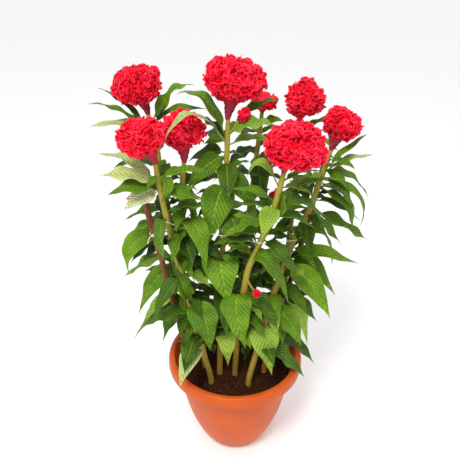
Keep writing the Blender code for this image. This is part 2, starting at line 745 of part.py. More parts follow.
def back_choices(line, draw, share, heading):
    """A leaf that the reference view hides, then turned, dropped or shortened until it is clear."""
    root = place_on(line, share)
    length = draw.uniform(*BACK_LENGTH) * (1.0 - 0.28 * share)
    dip = math.radians(draw.uniform(*BACK_DIP) + 30 * max(0.0, share - 0.7))
    spread = draw.uniform(*BACK_SPREAD)
    for shorter in (1.0, 0.85, 0.7):
        for swing in (0, 14, -14, 28, -28, 44, -44):
            for drop in (0, 12, -14):
                angle = math.radians(heading + swing)
                fall = dip + math.radians(drop)
                level = math.cos(fall)
                away = Vector((math.cos(angle) * level, math.sin(angle) * level, math.sin(fall)))
                tip = root + away * length * shorter
                side = away.cross(UP).normalized()
                yield Blade(root, arched(root, tip, BACK_LIFT), tip, side, length * shorter * spread / 2)


class Crowd:
    """What already stands in place, so that each new leaf is bent clear of it."""

    def __init__(self):
        self.trees = []

    def add(self, owner, points, faces):
        self.trees.append((owner, BVHTree.FromPolygons(points, faces)))

    def add_object(self, owner, thing):
        points = [vert.co.copy() for vert in thing.data.vertices]
        self.add(owner, points, [tuple(face.vertices) for face in thing.data.polygons])

    def clear(self, stem, blade):
        whole = BVHTree.FromPolygons(*blade_shape(blade, ROOM))
        tail = BVHTree.FromPolygons(*blade_shape(blade, ROOM, start=1))
        for owner, tree in self.trees:
            if owner == stem + " tube":
                continue
            if tree.overlap(tail if owner == stem else whole):
                return False
        return True


def add_leaf(crowd, stem, choices, leaves):
    """Adds the first of the choices that is clear of everything, or none if there is no room."""
    for blade in choices:
        if crowd.clear(stem, blade):
            shape = blade_shape(blade)
            crowd.add(stem, *shape)
            leaves[stem].append(shape)
            return


def place_leaves(crowd, lines):
    leaves = {stem: [] for stem in STEMS}
    for number, leaf in enumerate(LEAVES):
        add_leaf(crowd, leaf.stem, seen_choices(leaf, lines[leaf.stem], number), leaves)
    for stem, (count, first, last) in BACK_LEAVES.items():
        draw = random.Random(f"{stem} {SEED}")
        for k in range(count):
            share = FIRST_BACK_ROOT + BACK_ROOT_REACH * (k + 0.5) / count
            heading = first + (last - first) * ((k * GOLDEN_STEP + 0.3) % 1.0)
            add_leaf(crowd, stem, back_choices(lines[stem], draw, share, heading), leaves)
    return leaves


def main():
    clean_scene()
    petal = material("petal", (0.62, 0.02, 0.04), 0.6)
    green = material("leaf", (0.07, 0.22, 0.03), 0.45)
    wood = material("stake_wood", (0.25, 0.12, 0.05), 0.7)
    crowd = Crowd()
    lines = {name: stem_line(stem) for name, stem in STEMS.items()}
    crowd.add_object("pot", make_pot(material("pot_plastic", (0.72, 0.20, 0.06), 0.45)))
    crowd.add_object("soil", make_soil(material("soil", (0.04, 0.02, 0.012), 0.95)))
    for stake in make_stakes(wood):
        crowd.add_object("stake", stake)
    crowd.add_object("string", make_string(material("string", (0.75, 0.72, 0.62), 0.8)))
    for number, (name, bloom) in enumerate(BLOOMS.items()):
        crowd.add_object("bloom", make_bloom(name, bloom, lines[bloom.stem], petal, SEED + number))
    for number, (name, side) in enumerate(SIDE_BLOOMS.items()):
        crowd.add_object("bloom", make_side_bloom(name, side, lines[side.stem], petal, SEED + 20 + number))
    stalks = {}
    for name, line in lines.items():
        shape = tube_shape(line, stem_radii(len(line)), STEM_SIDES)
        crowd.add(name + " tube", *shape)
        stalks[name] = new_object(name, new_mesh(name, *shape), green)
    twigs = {name: [] for name in STEMS}
    for name, side in SIDE_BLOOMS.items():
        shape = tube_shape(twig(side, lines[side.stem]), TWIG_RADII, 6)
        crowd.add(side.stem + " tube", *shape)
        twigs[side.stem].append(new_object(name + "_twig", new_mesh("twig", *shape)))
    leaves = place_leaves(crowd, lines)
    for name, stalk in stalks.items():
        parts = twigs[name] + [new_object("leaf", new_mesh("leaf", *shape)) for shape in leaves[name]]
        join(stalk, parts, "MANIFOLD")
        keep_largest(stalk)


main()
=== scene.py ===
"""The looks of the potted cockscomb celosia: fine leaves, crested heads, ribbed stems, wood, string, soil
and pot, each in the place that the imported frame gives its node."""

import json
import math
import random
from itertools import product
from typing import NamedTuple

import bpy
import numpy as np
from mathutils import Matrix, Quaternion, Vector
from mathutils.kdtree import KDTree

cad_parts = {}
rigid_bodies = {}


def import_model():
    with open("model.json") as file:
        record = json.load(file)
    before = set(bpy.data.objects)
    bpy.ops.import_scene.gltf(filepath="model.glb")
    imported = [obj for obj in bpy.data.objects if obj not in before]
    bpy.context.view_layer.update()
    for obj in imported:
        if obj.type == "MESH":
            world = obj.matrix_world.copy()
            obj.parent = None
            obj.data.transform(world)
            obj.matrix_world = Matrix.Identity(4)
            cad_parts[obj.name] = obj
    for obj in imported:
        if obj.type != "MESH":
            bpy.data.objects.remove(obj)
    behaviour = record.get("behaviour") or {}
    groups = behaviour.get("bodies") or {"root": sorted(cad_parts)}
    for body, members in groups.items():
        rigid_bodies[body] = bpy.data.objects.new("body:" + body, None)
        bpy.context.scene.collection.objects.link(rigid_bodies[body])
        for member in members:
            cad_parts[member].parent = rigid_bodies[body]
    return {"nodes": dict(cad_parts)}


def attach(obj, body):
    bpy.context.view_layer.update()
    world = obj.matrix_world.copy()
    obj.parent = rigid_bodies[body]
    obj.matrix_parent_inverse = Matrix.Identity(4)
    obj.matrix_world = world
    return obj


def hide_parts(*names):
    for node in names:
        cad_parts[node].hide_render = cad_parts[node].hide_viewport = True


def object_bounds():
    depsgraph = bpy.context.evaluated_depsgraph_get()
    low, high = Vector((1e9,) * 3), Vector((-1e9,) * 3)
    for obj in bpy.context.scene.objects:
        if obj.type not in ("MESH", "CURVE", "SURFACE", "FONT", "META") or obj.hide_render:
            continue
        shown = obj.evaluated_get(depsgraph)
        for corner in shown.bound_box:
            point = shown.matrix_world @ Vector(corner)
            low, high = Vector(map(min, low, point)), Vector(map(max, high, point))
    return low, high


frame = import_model()
CAD_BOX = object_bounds()

UP = Vector((0, 0, 1))
GAP = 0.0003
SEED = 11
POT_HEIGHT = 0.224
OPENING_RADIUS = 0.125
FOOT_RADIUS = 0.063
POT_WALL = 0.003
LIP_BASE = POT_HEIGHT - 0.025
POT_OUTSIDE = ((FOOT_RADIUS, 0.0), (0.079, 0.027), (0.097, 0.072), (0.110, 0.126), (0.1165, 0.165),
               (0.121, LIP_BASE))
DRAIN_RADIUS = 0.005
DRAIN_RING = 0.040
DRAINS = 3
SOIL_TOP = POT_HEIGHT - 0.042
SOIL_MOUND = 0.004

STEM_FOOT_RADIUS = 0.0065
STEM_TOP_RADIUS = 0.004
STEM_STATIONS = 11
ROOTED = 0.030
UPRIGHT = 0.015

STAKE_RADIUS = 0.0055
STAKE_DEPTH = 0.11
STRING_RADIUS = 0.0012

BLADE_THICK = 0.0010
PETIOLE_THICK = 0.0024
PETIOLE_HALF = 0.0014
PETIOLE_SHARE = 0.14
FOLD = math.radians(14)
BLADE_STATIONS = (0.28, 0.62)
WIDTH_TO_LENGTH = 0.43
HIGHEST_ROOT = 0.965
ROOT_STEP = 0.011
MOST_TURN = math.radians(62)
BACK_LENGTH = (0.098, 0.132)
BACK_SPREAD = (0.38, 0.46)
BACK_DIP = (-50, -8)
BACK_LIFT = 0.24
FIRST_BACK_ROOT = 0.22
BACK_ROOT_REACH = 0.73
GOLDEN_STEP = 0.618
LIFTS = (0.26, 0.16, 0.36)
SHIFTS = (0, 0.009, -0.009, 0.018, -0.018, 0.028, -0.028, 0.04, -0.04)
UNDERSIDE = 0.86

EYE = Vector((-0.0106, -0.8463, SOIL_TOP + 0.791))
EYE_PITCH = math.radians(28.5)
EYE_FOCAL = 520.0
FRAME_MIDDLE = 230.0
CURVE_STEPS = 12


class Stem(NamedTuple):
    """A stem by its route from the top, as (pixel x, pixel y, depth), and its foot on the soil."""

    route: tuple
    foot: tuple


class Bloom(NamedTuple):
    """A crested head: its stem, the pixel of its middle, its depth and size, its lean to right and front."""

    stem: str
    middle: tuple
    depth: float
    size: tuple
    lean: tuple


class Leaf(NamedTuple):
    """A leaf in view: its stem, the pixels of its root and tip, its seen width in pixels, how far its tip
    comes forward of its root, a pixel that its midrib bends through, and the tone of its green, whose
    darkest tones paint the shade that a leaf is seen in."""

    stem: str
    root: tuple
    tip: tuple
    width: float
    forward: float
    bend: tuple = ()
    tone: str = ""


class SideBloom(NamedTuple):
    """A small bloom on a side twig: its stem, the pixels of the twig's root and end, depth and size."""

    stem: str
    root: tuple
    end: tuple
    depth: float
    size: float


STEMS = {
    "stem_1": Stem(((148, 114, 0.060), (153, 124, 0.058), (162, 180, 0.050), (176, 250, 0.045),
                    (190, 315, 0.032)),
                   (-0.078, 0.024)),
    "stem_2": Stem(((155, 163, -0.082), (158, 180, -0.078), (172, 240, -0.052), (188, 300, -0.022)),
                   (-0.064, -0.008)),
    "stem_3": Stem(((184, 162, -0.030), (182, 190, -0.032), (183, 230, -0.040), (181, 262, -0.046),
                    (186, 285, -0.050), (194, 318, -0.054)), (-0.050, -0.052)),
    "stem_4": Stem(((228, 119, 0.0), (226, 180, -0.003), (222, 260, -0.010), (221, 300, -0.016)),
                   (-0.032, -0.026)),
    "stem_5": Stem(((262, 112, 0.125), (256, 160, 0.118), (248, 220, 0.095), (240, 290, 0.065)),
                   (0.001, 0.048)),
    "stem_6": Stem(((300, 121, 0.090), (297, 160, 0.088), (291, 220, 0.066), (283, 290, 0.028)),
                   (0.062, -0.020)),
    "stem_7": Stem(((284, 172, -0.104), (275, 205, -0.096), (262, 240, -0.080), (250, 262, -0.064),
                    (244, 290, -0.054), (238, 330, -0.042)), (0.0, -0.032)),
    "stem_8": Stem(((331, 150, 0.024), (326, 164, 0.021), (310, 208, 0.010), (290, 248, -0.002),
                    (276, 288, -0.022), (264, 324, -0.040)), (0.028, -0.058)),
}

BLOOMS = {
    "bloom_1": Bloom("stem_1", (137, 86), 0.060, (0.091, 0.084, 0.076), (-8, 0)),
    "bloom_2": Bloom("stem_2", (142, 138), -0.082, (0.080, 0.074, 0.066), (-14, 8)),
    "bloom_3": Bloom("stem_3", (182, 131), -0.030, (0.078, 0.076, 0.074), (-4, 6)),
    "bloom_4": Bloom("stem_4", (235, 82), 0.0, (0.106, 0.092, 0.080), (6, 0)),
    "bloom_5": Bloom("stem_5", (265, 101), 0.125, (0.060, 0.058, 0.036), (4, 0)),
    "bloom_6": Bloom("stem_6", (305, 98), 0.090, (0.078, 0.076, 0.076), (4, 0)),
    "bloom_7": Bloom("stem_7", (295, 148), -0.104, (0.100, 0.086, 0.080), (10, 10)),
    "bloom_8": Bloom("stem_8", (341, 125), 0.024, (0.072, 0.066, 0.062), (26, 4)),
}

SIDE_BLOOMS = {
    "side_bloom_1": SideBloom("stem_1", (164, 200), (136, 200), -0.020, 0.018),
    "side_bloom_2": SideBloom("stem_4", (227, 132), (239, 121), -0.014, 0.022),
    "side_bloom_3": SideBloom("stem_7", (247, 278), (254, 290), -0.084, 0.013),
    "side_bloom_4": SideBloom("stem_5", (246, 235), (268, 205), 0.128, 0.024),
}

LEAVES = [Leaf(f"stem_{stem}", *rest) for stem, *rest in (
    (4, (226, 182), (210, 243), 34, 0.050),
    (4, (223, 214), (242, 270), 30, 0.045, (235, 226)),
    (4, (222, 256), (229, 306), 38, 0.045, (221, 266)),
    (3, (191, 304), (210, 351), 30, 0.030, (204, 318)),
    (7, (243, 294), (246, 349), 32, 0.030, (236, 308)),
    (8, (262, 328), (272, 376), 31, 0.040, (264, 336), "light"),
    (7, (275, 205), (262, 238), 21, 0.035, (), "light"),
    (2, (160, 190), (123, 211), 20, 0.020, (), "cream"),
    (2, (155, 165), (101, 176), 14, 0.010, (), "pale"),
    (2, (157, 174), (108, 195), 18, 0.0),
    (8, (284, 262), (330, 318), 25, 0.040),
    (7, (250, 262), (289, 304), 18, 0.030, (268, 260)),
    (6, (289, 217), (309, 278), 20, 0.060),
    (8, (271, 303), (301.5, 347), 23, 0.030),
    (4, (226, 155), (187, 189), 22, 0.030),
    (4, (226, 176), (258, 213), 22, 0.025, (238, 184)),
    (3, (183, 222), (206, 272), 22, 0.030, (198, 230)),
    (3, (183, 203), (176, 232), 15, 0.035),
    (3, (182, 228), (172, 264), 15, 0.035),
    (3, (190, 300), (172, 263), 16, 0.010, (183, 288)),
    (1, (172, 232), (129, 275), 20, 0.030, (134, 243)),
    (1, (180, 272), (139, 314), 20, 0.030, (158, 277)),
    (1, (187, 300), (134, 338.5), 16, 0.030, (165, 304)),
    (1, (185, 290), (141, 326), 12, 0.010, (168, 296), "light"),
    (4, (221, 326), (228, 366), 22, 0.045, (226, 336), "yellow"),
    (6, (281, 290), (307, 345), 16, 0.020, (), "yellow"),
    (6, (287, 250), (335, 295), 18, 0.030, (310, 263)),
    (6, (290, 210), (342, 246), 12, 0.030),
    (6, (293, 188), (316, 221), 14, 0.040, (314, 188)),
    (8, (288, 252), (359, 264), 14, 0.010, (322, 254)),
    (8, (309, 208), (367, 240), 10, 0.0, (344, 226)),
    (8, (319, 186), (353, 232), 9, 0.030, (344, 206)),
    (8, (313, 200), (360, 221), 7, 0.020),
    (8, (327, 162), (348, 190), 10, 0.040),
    (8, (321, 180), (360, 226), 6, -0.010, (358, 196)),
    (8, (323, 172), (369, 199), 6, -0.020, (350, 176)),
    (8, (298, 230), (332, 265), 8, -0.030, (324, 234)),
    (1, (150, 114), (98, 88), 5, -0.050, (120, 101)),
    (1, (149, 118), (87, 104), 5, -0.020, (118, 110)),
    (1, (150, 114), (194, 85), 9, -0.045, (168, 96)),
    (1, (151, 118), (163, 114), 12, 0.055, (162, 103), "dark"),
    (1, (152, 122), (206, 109), 7, 0.020, (172, 111)),
    (1, (153, 128), (89, 127), 9, 0.010, (), "pale"),
    (2, (155, 163), (98, 154), 9, -0.050, (), "pale"),
    (2, (156, 170), (120, 212), 7, -0.010, (131, 183)),
    (2, (157, 176), (147, 192), 8, 0.025),
    (2, (156, 168), (160, 205), 12, 0.030, (168, 184)),
    (2, (160, 192), (201, 200), 13, 0.020, (178, 193)),
    (4, (228, 119), (177, 94), 11, -0.030, (204, 100)),
    (4, (227, 128), (163, 145), 5, 0.090, (192, 114), "pale"),
    (4, (228, 120), (279, 101), 7, -0.045, (258, 106)),
    (4, (227, 130), (275, 125), 12, 0.020, (250, 124), "light"),
    (4, (226, 130), (204, 144), 10, 0.030),
    (4, (226, 132), (200, 117), 8, -0.040, (), "dark"),
    (4, (226, 152), (188, 162), 14, -0.010, (), "dark"),
    (5, (262, 114), (283, 121), 8, 0.020),
    (5, (256, 160), (262, 206), 20, 0.040, (), "dark"),
    (7, (283, 175), (247, 177), 9, 0.0, (262, 163), "light"),
    (7, (281, 184), (267, 236), 14, -0.030, (284, 200)),
    (7, (284, 174), (345, 180), 6, -0.040),
    (7, (284, 172), (322, 172), 5, -0.050),
    (6, (300, 121), (335, 117), 5, -0.010),
    (6, (300, 123), (320, 134), 6, 0.030),
    (8, (330, 152), (367, 134), 6, -0.030, (350, 148)),
    (8, (330, 152), (373, 155), 6, 0.0, (), "pale"),
    (8, (329, 156), (355, 169), 6, 0.020),
    (3, (183, 234), (225, 262), 14, -0.010, (), "dark"),
    (3, (183, 198), (196, 235), 10, 0.0),
    (3, (181, 256), (207, 296), 18, -0.010, (), "dark"),
    (1, (168, 212), (125, 220), 10, 0.010),
    (1, (170, 222), (123, 241), 12, -0.010),
    (1, (177, 256), (124, 277), 11, 0.0, (150, 262), "light"),
    (1, (174, 240), (142, 262), 10, 0.0, (), "dark"),
    (2, (167, 218), (164, 262), 12, 0.015, (160, 232)),
    (2, (186, 290), (184, 318), 8, 0.020),
    (4, (221, 318), (242, 346), 18, -0.010),
    (7, (238, 336), (245, 366), 12, -0.010, (), "dark"),
    (8, (265, 322), (284, 322), 8, -0.010, (), "yellow"),
    (3, (202, 345), (180, 387), 20, 0.075, (189, 358), "pale"),
    (6, (276, 330), (285, 370), 10, 0.010),
    (6, (285, 255), (263, 289), 20, 0.0, (270, 262), "dark"),
    (8, (275, 290), (276, 322), 14, 0.030),
)]

BACK_LEAVES = {
    "stem_1": (9, 30, 250),
    "stem_2": (6, 0, 270),
    "stem_3": (9, -30, 330),
    "stem_4": (14, 0, 360),
    "stem_5": (16, -60, 240),
    "stem_6": (14, -90, 180),
    "stem_7": (9, -90, 200),
    "stem_8": (9, -90, 160),
}

STAKES = {
    "stake_left": (Vector((-0.1585, -0.060, SOIL_TOP + 0.450)), Vector((-0.0930, -0.002, SOIL_TOP))),
    "stake_right": (Vector((0.1638, 0.054, SOIL_TOP + 0.445)), Vector((0.0770, 0.038, SOIL_TOP))),
    "stake_back": (Vector((-0.004, 0.074, SOIL_TOP + 0.270)), Vector((-0.012, 0.072, SOIL_TOP))),
    "stake_back_left": (Vector((-0.066, 0.070, SOIL_TOP + 0.235)), Vector((-0.052, 0.064, SOIL_TOP))),
}

STRING_ROUTE = ((167, 222, -0.073), (184, 229, -0.058), (209, 233.5, -0.066), (240, 239, -0.080),
                (264, 244, -0.092), (297, 240, -0.020))
STRING_WRAPS = (("stake_right", SOIL_TOP + 0.298, -80), ("stake_left", SOIL_TOP + 0.351, 100))
WRAP_STEP = 42
WRAP_TURNS = 5
STRING_BACK = ((0.112, 0.082, SOIL_TOP + 0.297), (0.045, 0.122, SOIL_TOP + 0.295),
               (-0.07, 0.070, SOIL_TOP + 0.315))


def seen(x, y, depth):
    """The point of the plane Y = depth that the reference view shows at pixel (x, y)."""
    ahead = Vector((0, math.cos(EYE_PITCH), -math.sin(EYE_PITCH)))
    above = Vector((0, math.sin(EYE_PITCH), math.cos(EYE_PITCH)))
    sight = ahead * EYE_FOCAL + above * (FRAME_MIDDLE - y) + Vector((x - FRAME_MIDDLE, 0, 0))
    return EYE + sight * ((depth - EYE.y) / sight.y)


def pixel_of(point):
    away = point - EYE
    ahead = away.y * math.cos(EYE_PITCH) - away.z * math.sin(EYE_PITCH)
    above = away.y * math.sin(EYE_PITCH) + away.z * math.cos(EYE_PITCH)
    return Vector((FRAME_MIDDLE + EYE_FOCAL * away.x / ahead, FRAME_MIDDLE - EYE_FOCAL * above / ahead))


def pixel_size(point):
    away = point - EYE
    return (away.y * math.cos(EYE_PITCH) - away.z * math.sin(EYE_PITCH)) / EYE_FOCAL


def smooth(route, count):
    """Evenly spaced points on a Catmull-Rom curve through the route."""
    ends = [2 * route[0] - route[1], *route, 2 * route[-1] - route[-2]]
    fine = []
    for before, start, end, after in zip(ends, ends[1:], ends[2:], ends[3:]):
        for step in range(CURVE_STEPS):
            t = step / CURVE_STEPS
            fine.append(0.5 * (2 * start + (end - before) * t
                               + (2 * before - 5 * start + 4 * end - after) * t**2
                               + (3 * start - before - 3 * end + after) * t**3))
    fine.append(route[-1].copy())
    return spaced(fine, count)


def spaced(line, count):
    reach = [0.0]
    for a, b in zip(line, line[1:]):
        reach.append(reach[-1] + (b - a).length)
    found = []
    at = 0
    for k in range(count):
        want = reach[-1] * k / (count - 1)
        while at < len(line) - 2 and reach[at + 1] < want:
            at += 1
        share = (want - reach[at]) / (reach[at + 1] - reach[at])
        found.append(line[at].lerp(line[at + 1], share))
    return found


def stem_line(stem):
    """The stem's middle line from its rooted end up to its flat top."""
    x, y = stem.foot
    bottom = Vector((x, y, SOIL_TOP - ROOTED))
    upper = [Vector((x, y, SOIL_TOP + UPRIGHT))] + [seen(*place) for place in reversed(stem.route)]
    return [bottom] + smooth(upper, STEM_STATIONS - 1)


def stem_radius(share):
    return STEM_FOOT_RADIUS + (STEM_TOP_RADIUS - STEM_FOOT_RADIUS) * share


def stake_line(top, foot):
    into = (foot - top).normalized()
    return [foot + into * STAKE_DEPTH, top]


def stake_at(name, height):
    low, high = stake_line(*STAKES[name])
    return low.lerp(high, (height - low.z) / (high.z - low.z))


def head_frame(bloom, middle):
    right, front = (math.radians(angle) for angle in bloom.lean)
    return Matrix.Translation(middle) @ Matrix.Rotation(right, 4, "Y") @ Matrix.Rotation(front, 4, "X")


def nearest_on(line, pixel):
    """The share of the line whose place is seen nearest to the pixel."""
    shares = [k / 120 for k in range(121)]
    return min(shares, key=lambda share: (pixel_of(place_on(line, share)) - Vector(pixel)).length)


def place_on(line, share):
    at = share * (len(line) - 1)
    whole = min(int(at), len(line) - 2)
    return line[whole].lerp(line[whole + 1], at - whole)


def twig(side, line):
    """A side twig's line from inside its stem to its flat end."""
    root = place_on(line, nearest_on(line, side.root))
    end = seen(*side.end, side.depth)
    return [root, root.lerp(end, 0.5) - UP * 0.1 * (end - root).length, end]


class Blade(NamedTuple):
    """A leaf's midrib as a quadratic curve, its side direction and its half width. The upper face looks
    along side x midrib."""

    root: Vector
    bend: Vector
    tip: Vector
    side: Vector
    half: float


def midrib(blade, t):
    return (1 - t)**2 * blade.root + 2 * t * (1 - t) * blade.bend + t**2 * blade.tip


def along_midrib(blade, t):
    return (2 * (1 - t) * (blade.bend - blade.root) + 2 * t * (blade.tip - blade.bend)).normalized()


def half_width(share):
    """Half the width of a blade along its length, over its greatest: egg-shaped, drawn out to the tip."""
    return share**0.62 * (1 - share)**1.25 / 0.3037


def blade_section(blade, t, half, thick, fold):
    middle = midrib(blade, t)
    normal = blade.side.cross(along_midrib(blade, t)).normalized()
    out = blade.side * half * math.cos(fold)
    rise = normal * half * math.sin(fold)
    up = normal * thick / 2
    return [middle - out + rise + up, middle + up, middle + out + rise + up,
            middle + out + rise - up, middle - up, middle - out + rise - up]


def blade_tip(blade):
    """The upper and the lower end of the edge in which a blade ends."""
    normal = blade.side.cross(along_midrib(blade, 1.0)).normalized()
    return [blade.tip + normal * (BLADE_THICK / 2), blade.tip - normal * (BLADE_THICK / 2)]


def arched(root, tip, lift):
    """Where the midrib's curve bends: out and up from the stem, then over to the tip."""
    chord = tip - root
    level = Vector((chord.x, chord.y, 0))
    out = level.normalized() if level.length > 0.2 * chord.length else Vector((0, -1, 0))
    drop = max(0.0, -chord.z / chord.length)
    return root + chord * (0.45 - 0.15 * drop) + (UP * 0.75 + out * (0.2 + 0.5 * drop)) * lift * chord.length


def seen_leaf(leaf, root, forward, lift):
    """A leaf between its seen root and tip, turned about its length as far as its seen width asks."""
    tip = seen(*leaf.tip, root.y - leaf.forward - forward)
    if leaf.bend:
        between = (root.y + tip.y) / 2 - 0.012 - 0.2 * lift * (tip - root).length
        bend = 2 * seen(*leaf.bend, between) - (root + tip) / 2
    else:
        bend = arched(root, tip, lift)
    chord = tip - root
    middle = (root + tip) / 2
    view = (EYE - middle).normalized()
    side = chord.cross(view).normalized()
    face = side.cross(chord).normalized()
    shown = leaf.width * pixel_size(middle) / 2
    natural = max(shown, WIDTH_TO_LENGTH / 2 * min(chord.length, 0.09))
    turn = min(math.acos(min(1.0, shown / natural)), MOST_TURN)
    lean = math.copysign(turn, side.z)
    turned = (side * math.cos(lean) - face * math.sin(lean)).normalized()
    return Blade(root, bend, tip, turned, min(shown / math.cos(turn), natural * 1.2))


def seen_choices(leaf, line, number):
    """The leaf as it is seen, then with its tip nearer or farther on the same line of sight."""
    share = nearest_on(line, leaf.root)
    root = place_on(line, min(share, HIGHEST_ROOT - ROOT_STEP * (number % 5)))
    for lift in LIFTS:
        for forward in SHIFTS:
            yield seen_leaf(leaf, root, forward, lift)


def back_choices(line, draw, share, heading):
    """A leaf that the reference view hides, then turned, dropped or shortened until it is clear."""
    root = place_on(line, share)
    length = draw.uniform(*BACK_LENGTH) * (1.0 - 0.28 * share)
    dip = math.radians(draw.uniform(*BACK_DIP) + 30 * max(0.0, share - 0.7))
    spread = draw.uniform(*BACK_SPREAD)
    for shorter in (1.0, 0.85, 0.7):
        for swing in (0, 14, -14, 28, -28, 44, -44):
            for drop in (0, 12, -14):
                angle = math.radians(heading + swing)
                fall = dip + math.radians(drop)
                level = math.cos(fall)
                away = Vector((math.cos(angle) * level, math.sin(angle) * level, math.sin(fall)))
                tip = root + away * length * shorter
                side = away.cross(UP).normalized()
                yield Blade(root, arched(root, tip, BACK_LIFT), tip, side, length * shorter * spread / 2)


SEEN_GRID = (34, 13)
BACK_GRID = (28, 11)
YOUNG_GRID = (18, 9)
PETIOLE_STEPS = 5
SIDE_VEINS = 9.0
VEIN_SLOPE = 0.50
QUILT = 0.13
EDGE_WAVE = 0.0034
FINE_THICK = 0.0005
MATCH_REACH = 0.00015
LEAST_MATCHES = 6
# Painted shade: the darkest tone goes to leaves seen in shade, and the next darkest, "deep", to the hidden back
# leaves inside the plant. Young leaves take "deep" at random.
TONES = {"": (0.45, 0.0), "deep": (0.16, 0.0), "light": (0.72, 0.08), "yellow": (0.95, 0.12),
         "pale": (0.9, 0.55), "cream": (0.9, 1.0), "dark": (0.10, 0.0)}

STEM_RIBS = 6
STEM_RING = 24
STEM_STEPS = 90
JOINT_REACH = 0.007
TWIG_RADIUS = 0.0019
TWIG_STEPS = 12
TWIG_SIDES = 10

YOUNG_LEAVES = 27
YOUNG_ROOTS = (0.28, 0.68)
YOUNG_TRIES = 24
YOUNG_LENGTH = (0.040, 0.084)
YOUNG_DIP = (-0.7, 0.35)
YOUNG_SPREAD = 0.2
YOUNG_ROOM = 0.0030
YOUNG_TONES = ("light", "", "", "deep")
SPOT_SHARES = (0.3, 0.45, 0.6, 0.75, 0.9)
KEPT_IN_VIEW = (((141, 187), (174, 295), 6.0, 0.0), ((284, 172), (262, 240), 6.5, -0.070),
                ((262, 240), (246, 285), 6.5, -0.050), ((251, 286), (257, 293), 7.0, -0.075),
                ((228, 120), (226, 166), 5.0, 0.0))
ROD_STEP_COUNT = 90
ROD_ROOM = 0.0105

HEAD_SIDE = 30
HEAD_SUNK = 0.0058
HEAD_TAPERS = {"bloom_4": 0.10, "bloom_6": -0.20, "bloom_1": 0.06, "bloom_8": 0.12, "bloom_2": 0.10}
LOBE_WAVE = 0.022
LOBE_DEPTH = 0.0100
NECK_STEPS = 30
NECK_SIDES = 36
NECK_SHARES = (0, 0.2, 0.6, 1)
NECK_RADII = (STEM_TOP_RADIUS + 0.0004, 0.0062, 0.0125, 0.018)
NECK_WAVE = 0.0070
NECK_GRAIN = 0.0009
FRILL_WIDTH = 0.0082
FRILL_HEIGHT = 0.0086
FRILL_GAP = 0.0053
FRILL_THICK = 0.09
FRILL_GRID = (4, 6)
FRILL_KINDS = 4
FRILL_DENSITY = 200000.0

SIDE_HEAD_SIDE = 20
SIDE_LOBE_WAVE = 0.009
SIDE_NECK_STEPS = 8
SIDE_NECK_SIDES = 14
SIDE_FRILL_SIZE = 0.6

POT_SIDES = 128
POT_LIP = ((0.1208, 0.033), (0.1212, 0.0245), (0.1385, 0.0245), (0.1400, 0.0225), (0.1402, 0.0085),
           (0.1370, 0.0008), (0.1300, -0.0004), (0.1262, 0.0015), (OPENING_RADIUS, 0.0075))
CORNER_CUTS = 2
SHARP_ANGLE = math.radians(40)
STAKE_STEPS = 71
STAKE_SIDES = 28
STRING_STEPS = 420
STRAND_TURN = 0.55
STRAND_AWAY = 0.36
STRAND_RADIUS = STRING_RADIUS * 0.38
KNOT_RADIUS = STRING_RADIUS * 0.7
KNOT_SIZE = 0.0022
SOIL_RADIUS = 0.1140
SOIL_SIDES = 160
SOIL_RINGS = 60
MOUND_RADIUS = 0.115

KEY_PLACE = Vector((-0.45, -1.3, 2.4))
KEY_TARGET = Vector((0, 0, 0.5))
FLOOR_REACH = 30


def in_scene(name, data):
    """A new object, linked into the scene."""
    made = bpy.data.objects.new(name, data)
    bpy.context.scene.collection.objects.link(made)
    return made


def applied(thing):
    """The mesh that an object's modifiers make of it. The object itself is removed."""
    shaped = bpy.data.meshes.new_from_object(thing.evaluated_get(bpy.context.evaluated_depsgraph_get()))
    bpy.data.objects.remove(thing)
    return shaped


def noise_field(points, wave, seed, count=16):
    """A seeded field of plane waves one wavelength long, about -1 to 1, at each of the points."""
    draw = np.random.default_rng(seed)
    ways = draw.normal(size=(count, 3))
    ways *= 2 * math.pi / wave / np.linalg.norm(ways, axis=1)[:, None]
    return np.cos(points @ ways.T + draw.uniform(0, 2 * math.pi, count)).sum(axis=1) / math.sqrt(count)


class Solid:
    """Points, faces, finishes and vertex attributes gathered from several shapes of one piece."""

    def __init__(self, *names):
        self.points, self.faces, self.looks, self.count = [], [], [], 0
        self.values = {name: [] for name in names}

    def add(self, points, faces, look, **values):
        self.points.append(np.asarray(points, float).reshape(-1, 3))
        self.faces += [tuple(np.asarray(face) + self.count) for face in faces]
        self.looks += [look] * len(faces)
        size = len(self.points[-1])
        for name, held in self.values.items():
            held.append(np.broadcast_to(np.asarray(values.get(name, 0.0), float).reshape(-1), (size,)))
        self.count += size

    def mesh(self, name, *looks):
        mesh = bpy.data.meshes.new(name)
        faces = [tuple(map(int, face)) for face in self.faces]
        mesh.from_pydata(np.concatenate(self.points).tolist(), [], faces)
        for look in looks:
            mesh.materials.append(look)
        mesh.polygons.foreach_set("material_index", self.looks)
        mesh.polygons.foreach_set("use_smooth", [True] * len(mesh.polygons))
        for label, held in self.values.items():
            mesh.attributes.new(label, "FLOAT", "POINT").data.foreach_set("value", np.concatenate(held))
        mesh.validate()
        return mesh

    def piece(self, name, looks, slot, *nodes):
        return finished(name, self.mesh(name, *looks), slot, *nodes)


def finished(name, mesh, slot, *nodes):
    """Puts a mesh in the scene as a piece that rides on the root and stands for its nodes."""
    made = in_scene(name, mesh)
    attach(made, "root")
    if nodes:
        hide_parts(*nodes)
    return made


def grid_faces(rows, columns, start=0, flip=False, wrap=False):
    """The four-sided faces of a grid of points, row by row, closed round each row if wrapped."""
    faces = []
    for r in range(rows - 1):
        for c in range(columns if wrap else columns - 1):
            n = (c + 1) % columns
            a, b = start + r * columns, start + (r + 1) * columns
            corners = (a + c, a + n, b + n, b + c)
            faces.append(corners[::-1] if flip else corners)
    return faces


